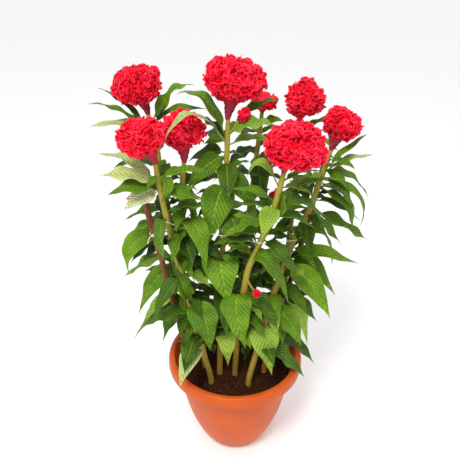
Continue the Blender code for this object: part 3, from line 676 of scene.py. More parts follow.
def tube(line, radii, sides, ripple=None):
    """Points and faces of a tube whose radius may ripple with (share along, angle)."""
    heading = (line[1] - line[0]).normalized()
    across = heading.orthogonal().normalized()
    points = []
    for k, centre in enumerate(line):
        turned = (line[min(k + 1, len(line) - 1)] - line[max(k - 1, 0)]).normalized()
        across = heading.rotation_difference(turned) @ across
        across = (across - turned * across.dot(turned)).normalized()
        heading = turned
        for s in range(sides):
            angle = 2 * math.pi * s / sides
            radius = radii[k] * (1 + (ripple(k / (len(line) - 1), angle) if ripple else 0))
            points.append(centre + Quaternion(heading, angle) @ across * radius)
    faces = grid_faces(len(line), sides, wrap=True)
    faces.append(tuple(reversed(range(sides))))
    faces.append(tuple(range((len(line) - 1) * sides, len(line) * sides)))
    return points, faces


def fine_leaf(blade, seed, grid):
    """A leaf as a closed grid: a grooved petiole, then a blade that is folded, quilted between its side veins
    and waved along its edges."""
    draw = random.Random(seed)
    steps, columns = grid
    ts = [PETIOLE_SHARE * k / PETIOLE_STEPS for k in range(PETIOLE_STEPS)]
    ts += [PETIOLE_SHARE + (1 - PETIOLE_SHARE) * k / (steps - 1) for k in range(steps)]
    u = np.linspace(-1, 1, columns)
    shift_left, shift_right = draw.uniform(0, 6.28), draw.uniform(0, 6.28)
    waves = draw.uniform(1.6, 2.8)
    wave_size = EDGE_WAVE * draw.uniform(0.6, 1.4) * blade.half / 0.02
    curl = draw.uniform(-0.16, 0.34)
    tip_twist = draw.uniform(-0.35, 0.35)
    top, under, along = [], [], []
    for t in ts:
        share = max(0.0, (t - PETIOLE_SHARE) / (1 - PETIOLE_SHARE))
        blade_part = min(1.0, share / 0.06)
        half = max(PETIOLE_HALF * (1 - 0.75 * share), blade.half * half_width(min(share, 0.9995)))
        thick = PETIOLE_THICK * (1 - blade_part) + FINE_THICK * blade_part
        fold = FOLD * blade_part * (1 + 0.5 * (1 - share))
        side = np.array(Quaternion(along_midrib(blade, t), tip_twist * share**2) @ blade.side)
        normal = np.cross(side, np.array(along_midrib(blade, t)))
        middle = np.array(midrib(blade, t))
        vein = SIDE_VEINS * (share - VEIN_SLOPE * np.abs(u) * (1 - 0.35 * share) * half / blade.half)
        bulge = np.abs(np.sin(math.pi * vein)) ** 0.8 - 0.5
        window = blade_part * np.clip(np.abs(u) * 5, 0, 1) * (1 - np.abs(u) ** 3)
        lift = QUILT * half * bulge * window
        lift -= 0.05 * half * np.exp(-(u / 0.10) ** 2) * blade_part
        shift = np.where(u < 0, shift_left, shift_right)
        ripple = np.sin(2 * math.pi * waves * share + shift)
        lift += wave_size * u**2 * ripple * min(1.0, half / blade.half * 1.6)
        lift += half * (np.abs(u) * math.sin(fold) - curl * u**2 * 0.5)
        round_petiole = np.sqrt(np.clip(1 - u**2, 0, 1)) * (1 - blade_part) + blade_part
        centre = middle + np.outer(u * half * math.cos(fold), side) + np.outer(lift, normal)
        outward = np.outer(round_petiole * thick / 2, normal)
        top.append(centre + outward)
        under.append(centre - outward)
        along.append(share)
    rows = len(ts)
    points = np.concatenate([np.array(top).reshape(-1, 3), np.array(under).reshape(-1, 3)])
    half_count = rows * columns
    faces = grid_faces(rows, columns) + grid_faces(rows, columns, half_count, flip=True)
    for r in range(rows - 1):
        a, b = r * columns, (r + 1) * columns
        faces.append((a, b, half_count + b, half_count + a))
        a, b = a + columns - 1, b + columns - 1
        faces.append((b, a, half_count + a, half_count + b))
    for c in range(columns - 1):
        faces.append((c + 1, c, half_count + c, half_count + c + 1))
        e = (rows - 1) * columns + c
        faces.append((e, e + 1, half_count + e + 1, half_count + e))
    across_all = np.tile(u, rows * 2)
    along_all = np.tile(np.repeat(along, columns), 2)
    under_all = np.repeat([0.0, 1.0], half_count)
    return points, faces, dict(across=across_all, along=along_all, under=under_all)


def matched(choices, tree):
    """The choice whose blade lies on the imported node's own vertices, or none if the node has no such leaf."""
    best, most = None, LEAST_MATCHES
    for blade in choices:
        corners = blade_tip(blade)
        for share in BLADE_STATIONS:
            t = PETIOLE_SHARE + (1 - PETIOLE_SHARE) * share
            corners += blade_section(blade, t, blade.half * half_width(share), BLADE_THICK, FOLD)
        found = sum(tree.find(corner)[2] < MATCH_REACH for corner in corners)
        if found > most:
            best, most = blade, found
        if most >= len(corners) - 1:
            break
    return best


def tree_of(points):
    tree = KDTree(len(points))
    for k, point in enumerate(points):
        tree.insert(point, k)
    tree.balance()
    return tree


def place_leaves(lines):
    """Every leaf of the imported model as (stem, blade, tone, grid)."""
    trees = {name: tree_of([vert.co for vert in frame["nodes"][name].data.vertices]) for name in STEMS}
    placed = []
    for number, leaf in enumerate(LEAVES):
        blade = matched(seen_choices(leaf, lines[leaf.stem], number), trees[leaf.stem])
        placed.append((leaf.stem, blade, leaf.tone, SEEN_GRID))
    for stem, (count, first, last) in BACK_LEAVES.items():
        draw = random.Random(f"{stem} {SEED}")
        for k in range(count):
            share = FIRST_BACK_ROOT + BACK_ROOT_REACH * (k + 0.5) / count
            heading = first + (last - first) * ((k * GOLDEN_STEP + 0.3) % 1.0)
            blade = matched(back_choices(lines[stem], draw, share, heading), trees[stem])
            # Painted shade: the hidden back leaves take the dark "deep" tone because they sit in the plant's
            # shade.
            placed.append((stem, blade, "deep", BACK_GRID))
    return [leaf for leaf in placed if leaf[1]]


def hides(spots):
    """Whether any of a leaf's spots stands before what the reference view shows bare: the left stake, two
    golden stems and a small bloom, each by its two end pixels, its half width in pixels and its depth."""
    for spot in spots:
        at = pixel_of(spot)
        for first, last, width, depth in KEPT_IN_VIEW:
            start, run = Vector(first), Vector(last) - Vector(first)
            share = min(1.0, max(0.0, (at - start).dot(run) / run.length_squared))
            if spot.y < depth and (at - start - run * share).length < width:
                return True
    return False


def in_box(spots):
    """Whether all of a leaf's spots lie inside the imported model's box."""
    low, high = CAD_BOX
    return all(low[axis] < spot[axis] < high[axis] for spot in spots for axis in range(3))


def young_leaf(draw, root):
    """A small leaf on a drawn heading from its root, and the spots of it that must stand clear."""
    turn, dip = draw.uniform(0, 2 * math.pi), draw.uniform(*YOUNG_DIP)
    away = Vector((math.cos(turn) * math.cos(dip), math.sin(turn) * math.cos(dip), math.sin(dip)))
    length = draw.uniform(*YOUNG_LENGTH)
    tip = root + away * length
    side = away.cross(UP).normalized()
    blade = Blade(root, arched(root, tip, BACK_LIFT), tip, side, length * YOUNG_SPREAD)
    spots = [midrib(blade, t) + way * blade.side * blade.half for t in SPOT_SHARES for way in (-1, 0, 1)]
    return blade, spots + [midrib(blade, t) for t in (0.2, 1.0)]


def young_leaves(lines, placed):
    """Small young leaves along the stems, each turned until it stands clear of the leaves, the heads, the
    stakes and the other stems."""
    stalk = BACK_GRID[1] * (PETIOLE_STEPS + 3)
    standing = [fine_leaf(blade, 0, BACK_GRID)[0][stalk:] for _, blade, _, _ in placed]
    for bloom in BLOOMS.values():
        middle = np.array(seen(*bloom.middle, bloom.depth))
        standing.append(ball(10)[0] * (max(bloom.size) / 2) + middle)
    tree = tree_of(np.concatenate(standing))
    rods = {name: smooth(line, ROD_STEP_COUNT) for name, line in lines.items()}
    rods.update({name: spaced(stake_line(*ends), ROD_STEP_COUNT) for name, ends in STAKES.items()})
    added, taken = [], []
    first, reach = YOUNG_ROOTS
    for name, line in lines.items():
        draw = random.Random("young " + name)
        others = tree_of([place for rod, places in rods.items() if rod != name for place in places])
        for k in range(YOUNG_LEAVES):
            root = place_on(line, first + reach * (k + 0.5) / YOUNG_LEAVES)
            for _ in range(YOUNG_TRIES):
                blade, spots = young_leaf(draw, root)
                near = min((spot - other).length for spot in spots for other in taken) if taken else 1.0
                clear = min(others.find(spot)[2] for spot in spots) > ROD_ROOM
                if near < YOUNG_ROOM or not clear or hides(spots) or not in_box(spots):
                    continue
                if min(tree.find(spot)[2] for spot in spots) > YOUNG_ROOM:
                    added.append((name, blade, draw.choice(YOUNG_TONES), YOUNG_GRID))
                    taken += spots
                    break
    return added


def make_leafy_stems(lines, leaf_look, stem_look):
    """Each stem with its ribs and leaf joints, its side twigs and its leaves, as one piece."""
    placed = place_leaves(lines)
    placed += young_leaves(lines, placed)
    draw = random.Random(SEED)
    rib = lambda share, angle: 0.055 * math.cos(STEM_RIBS * angle + 2 * share)
    for number, (name, line) in enumerate(lines.items()):
        solid = Solid("across", "along", "under", "tone", "pale", "height")
        fine = smooth(line, STEM_STEPS)
        roots = [blade.root for stem, blade, _, _ in placed if stem == name]
        radii = []
        for k, point in enumerate(fine):
            joint = max((math.exp(-((point - root).length / JOINT_REACH) ** 2) for root in roots), default=0)
            radii.append(stem_radius(k / (STEM_STEPS - 1)) * (0.95 + 0.22 * joint))
        heights = np.repeat(np.linspace(0, 1, STEM_STEPS), STEM_RING)
        solid.add(*tube(fine, radii, STEM_RING, rib), 1, height=heights, tone=draw.random())
        for side in SIDE_BLOOMS.values():
            if side.stem == name:
                fine = smooth(twig(side, line), TWIG_STEPS)
                points, faces = tube(fine, [TWIG_RADIUS] * TWIG_STEPS, TWIG_SIDES)
                solid.add(points, faces, 1, height=0.8, tone=draw.random())
        for index, (stem, blade, tone, grid) in enumerate(placed):
            if stem == name:
                points, faces, values = fine_leaf(blade, 1000 * number + index, grid)
                shade, pale = TONES[tone]
                values["tone"] = shade + draw.uniform(-0.12, 0.12)
                solid.add(points, faces, 0, pale=pale, height=1.0, **values)
        solid.piece("leafy_" + name, (leaf_look, stem_look), "leaf", name)


def ball(side):
    """Evenly gridded points and faces of a unit ball, as six swollen cube sides."""
    points, faces, known = [], [], {}
    row = side + 1
    steps = [math.tan(math.pi / 4 * (2 * k / side - 1)) for k in range(row)]
    for axis, sign in product(range(3), (-1, 1)):
        ids = []
        for a, b in product(range(row), repeat=2):
            place = [0.0] * 3
            place[axis], place[(axis + 1) % 3], place[(axis + 2) % 3] = float(sign), steps[a], steps[b]
            key = tuple(round(v, 5) for v in place)
            if key not in known:
                known[key] = len(points)
                points.append(place)
            ids.append(known[key])
        for a, b in product(range(side), repeat=2):
            k = a * row + b
            corners = (ids[k], ids[k + row], ids[k + row + 1], ids[k + 1])
            faces.append(corners if sign > 0 else corners[::-1])
    points = np.array(points)
    return points / np.linalg.norm(points, axis=1)[:, None], faces


def crested(ways, size, seed, depth, wave, sunk, taper=0.0):
    """A head's points on its domed form, folded into rounded lobes with deep creases, and how high each
    stands."""
    half = np.array(size) / 2
    ones = np.ones(len(ways))
    wide = 1 + taper * ways[:, 2]
    ways = ways * np.stack([wide, wide, ones], axis=1)
    base = ways * half * np.stack([ones, ones, np.where(ways[:, 2] > 0, 1.0, UNDERSIDE)], axis=1)
    bent = base + 0.0035 * np.stack([noise_field(base, wave * 2.2, seed + k, 8) for k in range(3)], axis=1)
    crease = np.abs(noise_field(bent, wave, seed + 5))
    lobes = noise_field(bent, wave * 0.62, seed + 9)
    ridge = np.clip(1 - (crease / 0.95) ** 1.5, 0, 1) ** 0.7
    high = np.clip(ridge * (0.86 + 0.20 * lobes), 0, 1.15)
    coarse, fine = noise_field(base, wave * 0.38, seed + 13), noise_field(base, wave * 0.2, seed + 17)
    frill = coarse * 0.09 + fine * 0.045
    lump = noise_field(base, 0.055, seed + 21, 10) * 0.0022
    out = base / np.linalg.norm(base, axis=1)[:, None]
    lift = depth * (high + frill * (0.4 + ridge) - 1.0) + lump - sunk
    # How high each point stands also sets its colour: painted shade in the creases, a painted highlight on the
    # crests.
    return base + out * lift[:, None], np.clip(high + frill, 0, 1.1)


def frill_shape(seed):
    """One small cupped frill as a thin closed fan that rolls outward at its waved edge."""
    draw = random.Random(seed)
    up, across = FRILL_GRID
    cup, roll, wave = draw.uniform(0.5, 0.9), draw.uniform(0.25, 0.5), draw.uniform(0, 6.28)
    front, back, crest = [], [], []
    for r in range(up):
        v = r / (up - 1)
        thick = Vector((0, FRILL_WIDTH * FRILL_THICK, 0)) * (1.15 - v)
        for c in range(across):
            u = 2 * c / (across - 1) - 1
            width = 0.5 + 0.5 * v**0.7
            depth = cup * u * u * (0.3 + 0.7 * v) - roll * v * v + 0.16 * v * math.sin(5 * u + wave)
            height = v * (1 - 0.25 * u * u) + 0.10 * v * math.sin(7 * u + wave) - 0.35
            place = Vector((u * FRILL_WIDTH * width, FRILL_WIDTH * depth, FRILL_HEIGHT * height))
            front.append(place + thick)
            back.append(place - thick)
            # The crest value paints shade at the frill's foot and a pink highlight at its tip.
            crest.append(0.25 + 0.80 * v)
    half = len(front)
    faces = grid_faces(up, across) + grid_faces(up, across, half, flip=True)
    rim = [r * across for r in range(up)] + [(up - 1) * across + c for c in range(1, across)]
    rim += [r * across + across - 1 for r in range(up - 2, -1, -1)] + list(range(across - 2, 0, -1))
    faces += [(a, b, b + half, a + half) for a, b in zip(rim, rim[1:] + rim[:1])]
    solid = Solid("crest", "neck")
    solid.add(front + back, faces, 0, crest=crest + crest)
    return solid.mesh("frill")


class Tree:
    """A node tree that is written with short calls."""

    def __init__(self, tree):
        self.tree = tree

    def node(self, kind, values=None, **settings):
        made = self.tree.nodes.new(kind)
        for name, value in settings.items():
            setattr(made, name, value)
        for name, value in (values or {}).items():
            self.put(made.inputs[name], value)
        return made

    def put(self, socket, value):
        if isinstance(value, bpy.types.NodeSocket):
            self.tree.links.new(value, socket)
        else:
            socket.default_value = value

    def result(self, kind, values=None, **settings):
        return self.node(kind, values, **settings).outputs[0]

    def join(self, *parts):
        made = self.node("GeometryNodeJoinGeometry")
        for part in parts:
            self.tree.links.new(part, made.inputs[0])
        return made.outputs[0]

    def chance(self, low, high, seed, kind="FLOAT_VECTOR"):
        values = {"Min": low, "Max": high, "Seed": seed}
        return self.node("FunctionNodeRandomValue", values, data_type=kind).outputs["Value"]

    def ended(self, geometry):
        self.put(self.node("NodeGroupOutput").inputs[0], geometry)
        return self.tree

    def maths(self, operation, first, second=0.0, third=0.0):
        made = self.node("ShaderNodeMath", operation=operation)
        for socket, value in zip(made.inputs, (first, second, third)):
            self.put(socket, value)
        return made.outputs[0]

    def times(self, first, second):
        return self.maths("MULTIPLY", first, second)

    def minus(self, first, second):
        return self.maths("SUBTRACT", first, second)

    def varied(self, cloud, reach, value):
        """The value raised and lowered by a cloud, by half the reach each way."""
        return self.maths("MULTIPLY_ADD", self.minus(cloud, 0.5), reach, value)

    def ramp(self, value, *stops):
        made = self.node("ShaderNodeValToRGB", {"Fac": value})
        band = made.color_ramp.elements
        while len(band) < len(stops):
            band.new(0.5)
        for element, (place, colour) in zip(band, stops):
            element.position = place
            element.color = (*colour, 1.0)
        return made.outputs["Color"]

    def mix(self, share, first, second, blend="MIX"):
        made = self.node("ShaderNodeMix", data_type="RGBA", blend_type=blend)
        for socket, value in zip((made.inputs[0], made.inputs[6], made.inputs[7]), (share, first, second)):
            self.put(socket, (*value, 1.0) if isinstance(value, tuple) else value)
        return made.outputs[2]

    def stretch(self, value, low, high, to_low=0.0, to_high=1.0):
        values = {"Value": value, "From Min": low, "From Max": high, "To Min": to_low, "To Max": to_high}
        return self.node("ShaderNodeMapRange", values, clamp=True).outputs["Result"]

    def attribute(self, name):
        return self.node("ShaderNodeAttribute", attribute_name=name).outputs["Fac"]

    def place(self):
        return self.node("ShaderNodeTexCoord").outputs["Object"]

    def noise(self, scale, detail=3.0, rough=0.55, vector=None):
        values = {"Vector": vector or self.place(), "Scale": scale, "Detail": detail, "Roughness": rough}
        return self.node("ShaderNodeTexNoise", values).outputs["Fac"]

    def streaks(self, scale, detail, rough):
        """Noise drawn out along the height of a piece."""
        drawn_out = self.result("ShaderNodeMapping", {"Vector": self.place(), "Scale": scale})
        return self.noise(1.0, detail, rough, drawn_out)

    def group(self, tree, **values):
        made = self.tree.nodes.new("ShaderNodeGroup")
        made.node_tree = tree
        for name, value in values.items():
            self.put(made.inputs[name.replace("_", " ").title()], value)
        return made.outputs


def geometry_tree(name, sizes):
    """A tree that works on geometry, with its named sizes and its seed open to be set, and its inputs."""
    tree = bpy.data.node_groups.new(name, "GeometryNodeTree")
    face = tree.interface
    face.new_socket("Geometry", in_out="INPUT", socket_type="NodeSocketGeometry")
    for label, value in sizes.items():
        face.new_socket(label, in_out="INPUT", socket_type="NodeSocketFloat").default_value = value
    face.new_socket("Seed", in_out="INPUT", socket_type="NodeSocketInt").default_value = SEED
    face.new_socket("Geometry", in_out="OUTPUT", socket_type="NodeSocketGeometry")
    made = Tree(tree)
    return made, made.node("NodeGroupInput").outputs


def frill_tree(look):
    """A head's surface closely set with frills, turned every way, realised and joined to it."""
    made, given = geometry_tree("set_with_frills", {"Frill Gap": FRILL_GAP, "Frill Size": 1.0})
    neck = made.node("GeometryNodeInputNamedAttribute", {"Name": "neck"}, data_type="FLOAT")
    head = made.result("FunctionNodeCompare", {"A": neck.outputs["Attribute"], "B": 0.5},
                       data_type="FLOAT", operation="LESS_THAN")
    spots = made.node("GeometryNodeDistributePointsOnFaces",
                      {"Mesh": given["Geometry"], "Selection": head, "Distance Min": given["Frill Gap"],
                       "Density Max": FRILL_DENSITY, "Density Factor": 1.0, "Seed": given["Seed"]},
                      distribute_method="POISSON").outputs
    kinds = []
    for k in range(FRILL_KINDS):
        blank = bpy.data.objects.new(f"frill_{k}", frill_shape(SEED + k))
        kind = made.node("GeometryNodeObjectInfo", {"Object": blank, "As Instance": True})
        kinds.append(kind.outputs["Geometry"])
    scale = made.times(made.chance(0.7, 1.2, 5, "FLOAT"), given["Frill Size"])
    set_down = made.result("GeometryNodeInstanceOnPoints",
                           {"Points": spots["Points"], "Instance": made.join(*kinds), "Pick Instance": True,
                            "Rotation": spots["Rotation"], "Scale": scale})
    spin = made.chance((-0.45, -0.45, 0.0), (0.45, 0.45, 6.28), 9)
    spun = made.result("GeometryNodeRotateInstances",
                       {"Instances": set_down, "Rotation": spin, "Local Space": True})
    real = made.result("GeometryNodeRealizeInstances", {"Geometry": spun})
    joined = made.join(given["Geometry"], real)
    return made.ended(made.result("GeometryNodeSetMaterial", {"Geometry": joined, "Material": look}))


def baked(mesh, tree, **values):
    """The mesh that a tree makes of another, with the tree's named inputs set."""
    blank = in_scene("blank", mesh)
    step = blank.modifiers.new("made", "NODES")
    step.node_group = tree
    for item in tree.interface.items_tree:
        label = item.name.replace(" ", "_").lower()
        if item.in_out == "INPUT" and label in values:
            step[item.identifier] = values[label]
    return applied(blank)


def frilled(name, solid, look, frills, size=1.0):
    """A head's solid set with frills, as the piece that stands for the head's node."""
    piece = "crested_" + name
    shaped = baked(solid.mesh("blank", look), frills, seed=sum(map(ord, piece)), frill_size=size,
                   frill_gap=FRILL_GAP * size)
    shaped.shade_smooth()
    finished(piece, shaped, "petal", name)


def make_blooms(lines, look, frills):
    """The eight crested heads, each on its granular neck."""
    ways, faces = ball(HEAD_SIDE)
    shares = np.linspace(0, 1, NECK_STEPS)
    for number, (name, bloom) in enumerate(BLOOMS.items()):
        middle = seen(*bloom.middle, bloom.depth)
        pose = np.array(head_frame(bloom, middle))
        points, high = crested(ways, bloom.size, 50 * number + 7, LOBE_DEPTH, LOBE_WAVE, HEAD_SUNK,
                               HEAD_TAPERS.get(name, 0.0))
        solid = Solid("crest", "neck")
        solid.add(points @ pose[:3, :3].T + pose[:3, 3], faces, 0, crest=high)
        line = lines[bloom.stem]
        way = (line[-1] - line[-2]).normalized()
        start = line[-1] + way * GAP
        neck = smooth([start, start + way * 0.006, start.lerp(middle, 0.55) + way * 0.003,
                       start.lerp(middle, 0.85)], NECK_STEPS)
        points, neck_faces = tube(neck, np.interp(shares, NECK_SHARES, NECK_RADII), NECK_SIDES)
        points = np.array(points)
        out = points - np.repeat(np.array([tuple(place) for place in neck]), NECK_SIDES, axis=0)
        out /= np.linalg.norm(out, axis=1)[:, None]
        grain = noise_field(points, NECK_WAVE, 31 + number, 20)
        fade = np.clip(np.repeat(shares, NECK_SIDES) * 6, 0, 1)
        points += out * (NECK_GRAIN * np.clip(grain, -0.6, 1.5) * fade)[:, None]
        solid.add(points, neck_faces, 0, neck=1.0, crest=0.4 + 0.3 * grain)
        frilled(name, solid, look, frills)


def make_side_blooms(lines, look, frills):
    """The four small heads at the ends of their twigs."""
    ways, faces = ball(SIDE_HEAD_SIDE)
    for number, (name, side) in enumerate(SIDE_BLOOMS.items()):
        _, middle, end = twig(side, lines[side.stem])
        way = (end - middle).normalized()
        start = end + way * GAP
        centre = start + way * side.size * 0.75
        turned = np.array(UP.rotation_difference(way).to_matrix())
        size = (side.size, side.size, side.size * 1.3)
        points, high = crested(ways, size, 900 + number, side.size * 0.10, SIDE_LOBE_WAVE, side.size * 0.10)
        solid = Solid("crest", "neck")
        solid.add(points @ turned.T + np.array(centre), faces, 0, crest=high * 0.85)
        radii = np.linspace(0.0022, side.size * 0.3, SIDE_NECK_STEPS)
        neck = smooth([start, centre], SIDE_NECK_STEPS)
        solid.add(*tube(neck, radii, SIDE_NECK_SIDES), 0, neck=1.0, crest=0.4)
        frilled(name, solid, look, frills, SIDE_FRILL_SIZE)


def lathed(profile, sides):
    """Points and faces of a profile of (radius, height) turned about the vertical."""
    points = [(radius * math.cos(2 * math.pi * k / sides), radius * math.sin(2 * math.pi * k / sides), height)
              for radius, height in profile for k in range(sides)]
    return points, grid_faces(len(profile), sides, wrap=True)


def rounded(profile):
    """A profile with its corners cut finely, its ends kept."""
    for _ in range(CORNER_CUTS):
        cut = [profile[0]]
        for (r1, z1), (r2, z2) in zip(profile, profile[1:]):
            cut.append((0.75 * r1 + 0.25 * r2, 0.75 * z1 + 0.25 * z2))
            cut.append((0.25 * r1 + 0.75 * r2, 0.25 * z1 + 0.75 * z2))
        profile = cut + [profile[-1]]
    return profile


def make_pot(look):
    """The pot's wall and rolled rim, turned finely, over a flat floor with its drain holes left open."""
    outside = [(FOOT_RADIUS - 0.001, 0.0), (FOOT_RADIUS, 0.0012), *POT_OUTSIDE[1:-1]]
    lip = [(radius, POT_HEIGHT - below) for radius, below in POT_LIP]
    inside = [(radius - POT_WALL, height) for radius, height in reversed(POT_OUTSIDE[1:])]
    wall = rounded([(FOOT_RADIUS - 0.004, 0.0), *outside, *lip, *inside, (FOOT_RADIUS - 0.002, POT_WALL)])
    points, faces = lathed(wall, POT_SIDES)
    first, last = len(points), len(points) - POT_SIDES
    points += [(0, 0, 0), (0, 0, POT_WALL)]
    faces += [(k, first, (k + 1) % POT_SIDES) for k in range(POT_SIDES)]
    faces += [(last + k, last + (k + 1) % POT_SIDES, first + 1) for k in range(POT_SIDES)]
    mesh = bpy.data.meshes.new("turned_pot")
    mesh.from_pydata(points, [], faces)
    mesh.materials.append(look)
    pot = in_scene("turned_pot_blank", mesh)
    drains = bpy.data.collections.new("drains")
    bpy.context.scene.collection.children.link(drains)
    for k in range(DRAINS):
        angle = 2 * math.pi * (k + 0.5) / DRAINS
        middle = Vector((DRAIN_RING * math.cos(angle), DRAIN_RING * math.sin(angle), 0))
        shape = bpy.data.meshes.new("drain")
        hole_points, hole_faces = tube([middle - 0.01 * UP, middle + 0.01 * UP], (DRAIN_RADIUS,) * 2, 24)
        shape.from_pydata([tuple(point) for point in hole_points], [], hole_faces)
        drains.objects.link(bpy.data.objects.new(f"drain_{k}", shape))
    cut = pot.modifiers.new("drains", "BOOLEAN")
    cut.operation, cut.operand_type, cut.collection, cut.solver = "DIFFERENCE", "COLLECTION", drains, "EXACT"
    shaped = applied(pot)
    for thing in drains.objects:
        bpy.data.objects.remove(thing)
    bpy.data.collections.remove(drains)
    shaped.shade_smooth()
    shaped.set_sharp_from_angle(angle=SHARP_ANGLE)
    finished("turned_pot", shaped, "pot_plastic", "pot")


def new_group(name, inputs, *outputs):
    """A shader group of plain numbers: its tree, its given inputs and its outputs to fill."""
    tree = bpy.data.node_groups.new(name, "ShaderNodeTree")
    face = tree.interface
    for label, value in inputs.items():
        face.new_socket(label, in_out="INPUT", socket_type="NodeSocketFloat").default_value = value
    for label in outputs:
        face.new_socket(label, in_out="OUTPUT", socket_type="NodeSocketFloat")
    made = Tree(tree)
    return made, made.node("NodeGroupInput").outputs, made.node("NodeGroupOutput").inputs


def mottling_group():
    """Broad and fine clouding of a surface: a mask for its colour and a height for its grain."""
    made, given, out = new_group("mottling", {"Broad Scale": 20.0, "Fine Scale": 300.0}, "Cloud", "Grain")
    made.put(out["Cloud"], made.stretch(made.noise(given["Broad Scale"]), 0.3, 0.7))
    made.put(out["Grain"], made.noise(given["Fine Scale"], 4.0, 0.65))
    return made.tree


def leaf_vein_group():
    """The light veins of a blade and the groove along each side vein, from its own across and along
    measures."""
    made, given, out = new_group("leaf_veins", {"Across": 0.0, "Along": 0.0},
                                 "Midrib", "Side Veins", "Groove", "Net")
    along, away = given["Along"], made.maths("ABSOLUTE", given["Across"])
    taper = made.stretch(along, 0.0, 1.0, 0.060, 0.028)
    made.put(out["Midrib"], made.minus(1.0, made.stretch(made.maths("DIVIDE", away, taper), 0.3, 1.2)))
    narrow = made.maths("MULTIPLY_ADD", along, -0.35, 1.0)
    share = made.maths("POWER", made.maths("MAXIMUM", along, 0.001), 0.62)
    rest = made.maths("POWER", made.maths("MAXIMUM", made.minus(1.0, along), 0.001), 1.25)
    width = made.maths("DIVIDE", made.times(share, rest), 0.3037)
    slope = made.times(made.times(away, narrow), made.times(width, VEIN_SLOPE))
    phase = made.times(made.minus(along, slope), SIDE_VEINS)
    wave = made.maths("ABSOLUTE", made.maths("SINE", made.times(phase, math.pi)))
    edge = made.stretch(away, 0.75, 1.0, 1.0, 0.25)
    line = made.minus(1.0, made.stretch(wave, 0.02, 0.14))
    made.put(out["Side Veins"], made.times(line, edge))
    groove = made.minus(1.0, made.stretch(wave, 0.08, 0.75))
    made.put(out["Groove"], made.times(groove, edge))
    cells = made.node("ShaderNodeTexVoronoi", {"Vector": made.place(), "Scale": 420.0},
                      feature="DISTANCE_TO_EDGE")
    made.put(out["Net"], made.minus(1.0, made.stretch(cells.outputs["Distance"], 0.0, 0.22)))
    return made.tree


def look(name, shine, mottling, broad, fine):
    """A new material that reflects as strongly as its shine says, its tree and its clouds and grain."""
    made = bpy.data.materials.new(name)
    made.use_nodes = True
    made.node_tree.nodes["Principled BSDF"].inputs["Specular IOR Level"].default_value = shine
    tree = Tree(made.node_tree)
    return made, tree, tree.group(mottling, broad_scale=broad, fine_scale=fine)


def dressed(made, tree, colour, rough, height=None, distance=0.0):
    """The material given its colour, its roughness and, where there is a height, its bumps."""
    shader = made.node_tree.nodes["Principled BSDF"].inputs
    tree.put(shader["Base Color"], colour)
    tree.put(shader["Roughness"], rough)
    if height:
        values = {"Height": height, "Distance": distance, "Strength": 1.0}
        tree.put(shader["Normal"], tree.result("ShaderNodeBump", values))
    return made


def leaf_look(mottling, veins):
    made, tree, clouds = look("celosia_leaf", 0.24, mottling, 38.0, 700.0)
    pale, under = tree.attribute("pale"), tree.attribute("under")
    lines = tree.group(veins, across=tree.attribute("across"), along=tree.attribute("along"))
    # The tone attribute holds painted shade: leaves seen in shade and the hidden back leaves get the darkest
    # greens.
    mixed = tree.varied(clouds["Cloud"], 0.28, tree.attribute("tone"))
    green = tree.ramp(mixed, (0.0, (0.012, 0.040, 0.001)), (0.4, (0.082, 0.188, 0.001)),
                      (0.7, (0.175, 0.335, 0.005)), (1.0, (0.32, 0.47, 0.015)))
    cream_spread = tree.times(pale, tree.stretch(clouds["Cloud"], 0.0, 0.5, 0.75, 1.0))
    colour = tree.mix(cream_spread, green, (0.62, 0.64, 0.36))
    # Painted shade: the grooves along the side veins are darkened in colour, as if shade lay in them.
    shaded_groove_colour = tree.mix(1.0, colour, (0.50, 0.58, 0.40), "MULTIPLY")
    colour = tree.mix(tree.times(lines["Groove"], 0.60), colour, shaded_groove_colour)
    for mask, share, over in ((lines["Side Veins"], 0.22, (0.19, 0.33, 0.030)),
                              (lines["Midrib"], 0.62, (0.30, 0.44, 0.055)),
                              (lines["Net"], 0.10, (0.19, 0.33, 0.030)), (under, 0.50, (0.15, 0.24, 0.045))):
        colour = tree.mix(tree.times(mask, share), colour, over)
    net = tree.maths("MULTIPLY_ADD", lines["Net"], -0.10, tree.times(clouds["Grain"], 0.25))
    rough = tree.stretch(clouds["Grain"], 0.3, 0.7, 0.40, 0.56)
    return dressed(made, tree, colour, rough, tree.minus(net, lines["Groove"]), 0.0011)


def stem_look(mottling):
    made, tree, clouds = look("celosia_stem", 0.4, mottling, 30.0, 500.0)
    streak = tree.streaks((420.0, 420.0, 14.0), 3.0, 0.6)
    height = tree.varied(clouds["Cloud"], 0.35, tree.attribute("height"))
    colour = tree.ramp(height, (0.0, (0.34, 0.19, 0.045)), (0.3, (0.40, 0.29, 0.035)),
                       (0.75, (0.36, 0.31, 0.025)), (1.0, (0.30, 0.27, 0.020)))
    colour = tree.mix(tree.times(tree.stretch(streak, 0.50, 0.64), 0.6), colour, (0.17, 0.22, 0.015))
    colour = tree.mix(tree.times(tree.stretch(streak, 0.46, 0.36), 0.5), colour, (0.45, 0.13, 0.025))
    return dressed(made, tree, colour, tree.stretch(streak, 0.3, 0.7, 0.42, 0.6), streak, 0.0004)


def petal_look(mottling):
    made, tree, clouds = look("crested_petal", 0.17, mottling, 55.0, 900.0)
    crest = tree.varied(clouds["Cloud"], 0.22, tree.attribute("crest"))
    # Painted light: the colour runs from dark red low in the creases and at the frills' feet, which is painted
    # shade, to pink on the crests and frill tips, which is a painted highlight.
    colour = tree.ramp(crest, (0.0, (0.16, 0.0, 0.003)), (0.3, (0.50, 0.0, 0.008)),
                       (0.78, (0.82, 0.0, 0.018)), (0.93, (0.90, 0.004, 0.032)),
                       (1.0, (0.95, 0.045, 0.095)))
    stalk = tree.ramp(clouds["Grain"], (0.3, (0.20, 0.006, 0.018)), (0.65, (0.52, 0.045, 0.085)))
    colour = tree.mix(tree.attribute("neck"), colour, stalk)
    return dressed(made, tree, colour, tree.stretch(crest, 0.2, 1.0, 0.75, 0.40), clouds["Grain"], 0.0006)


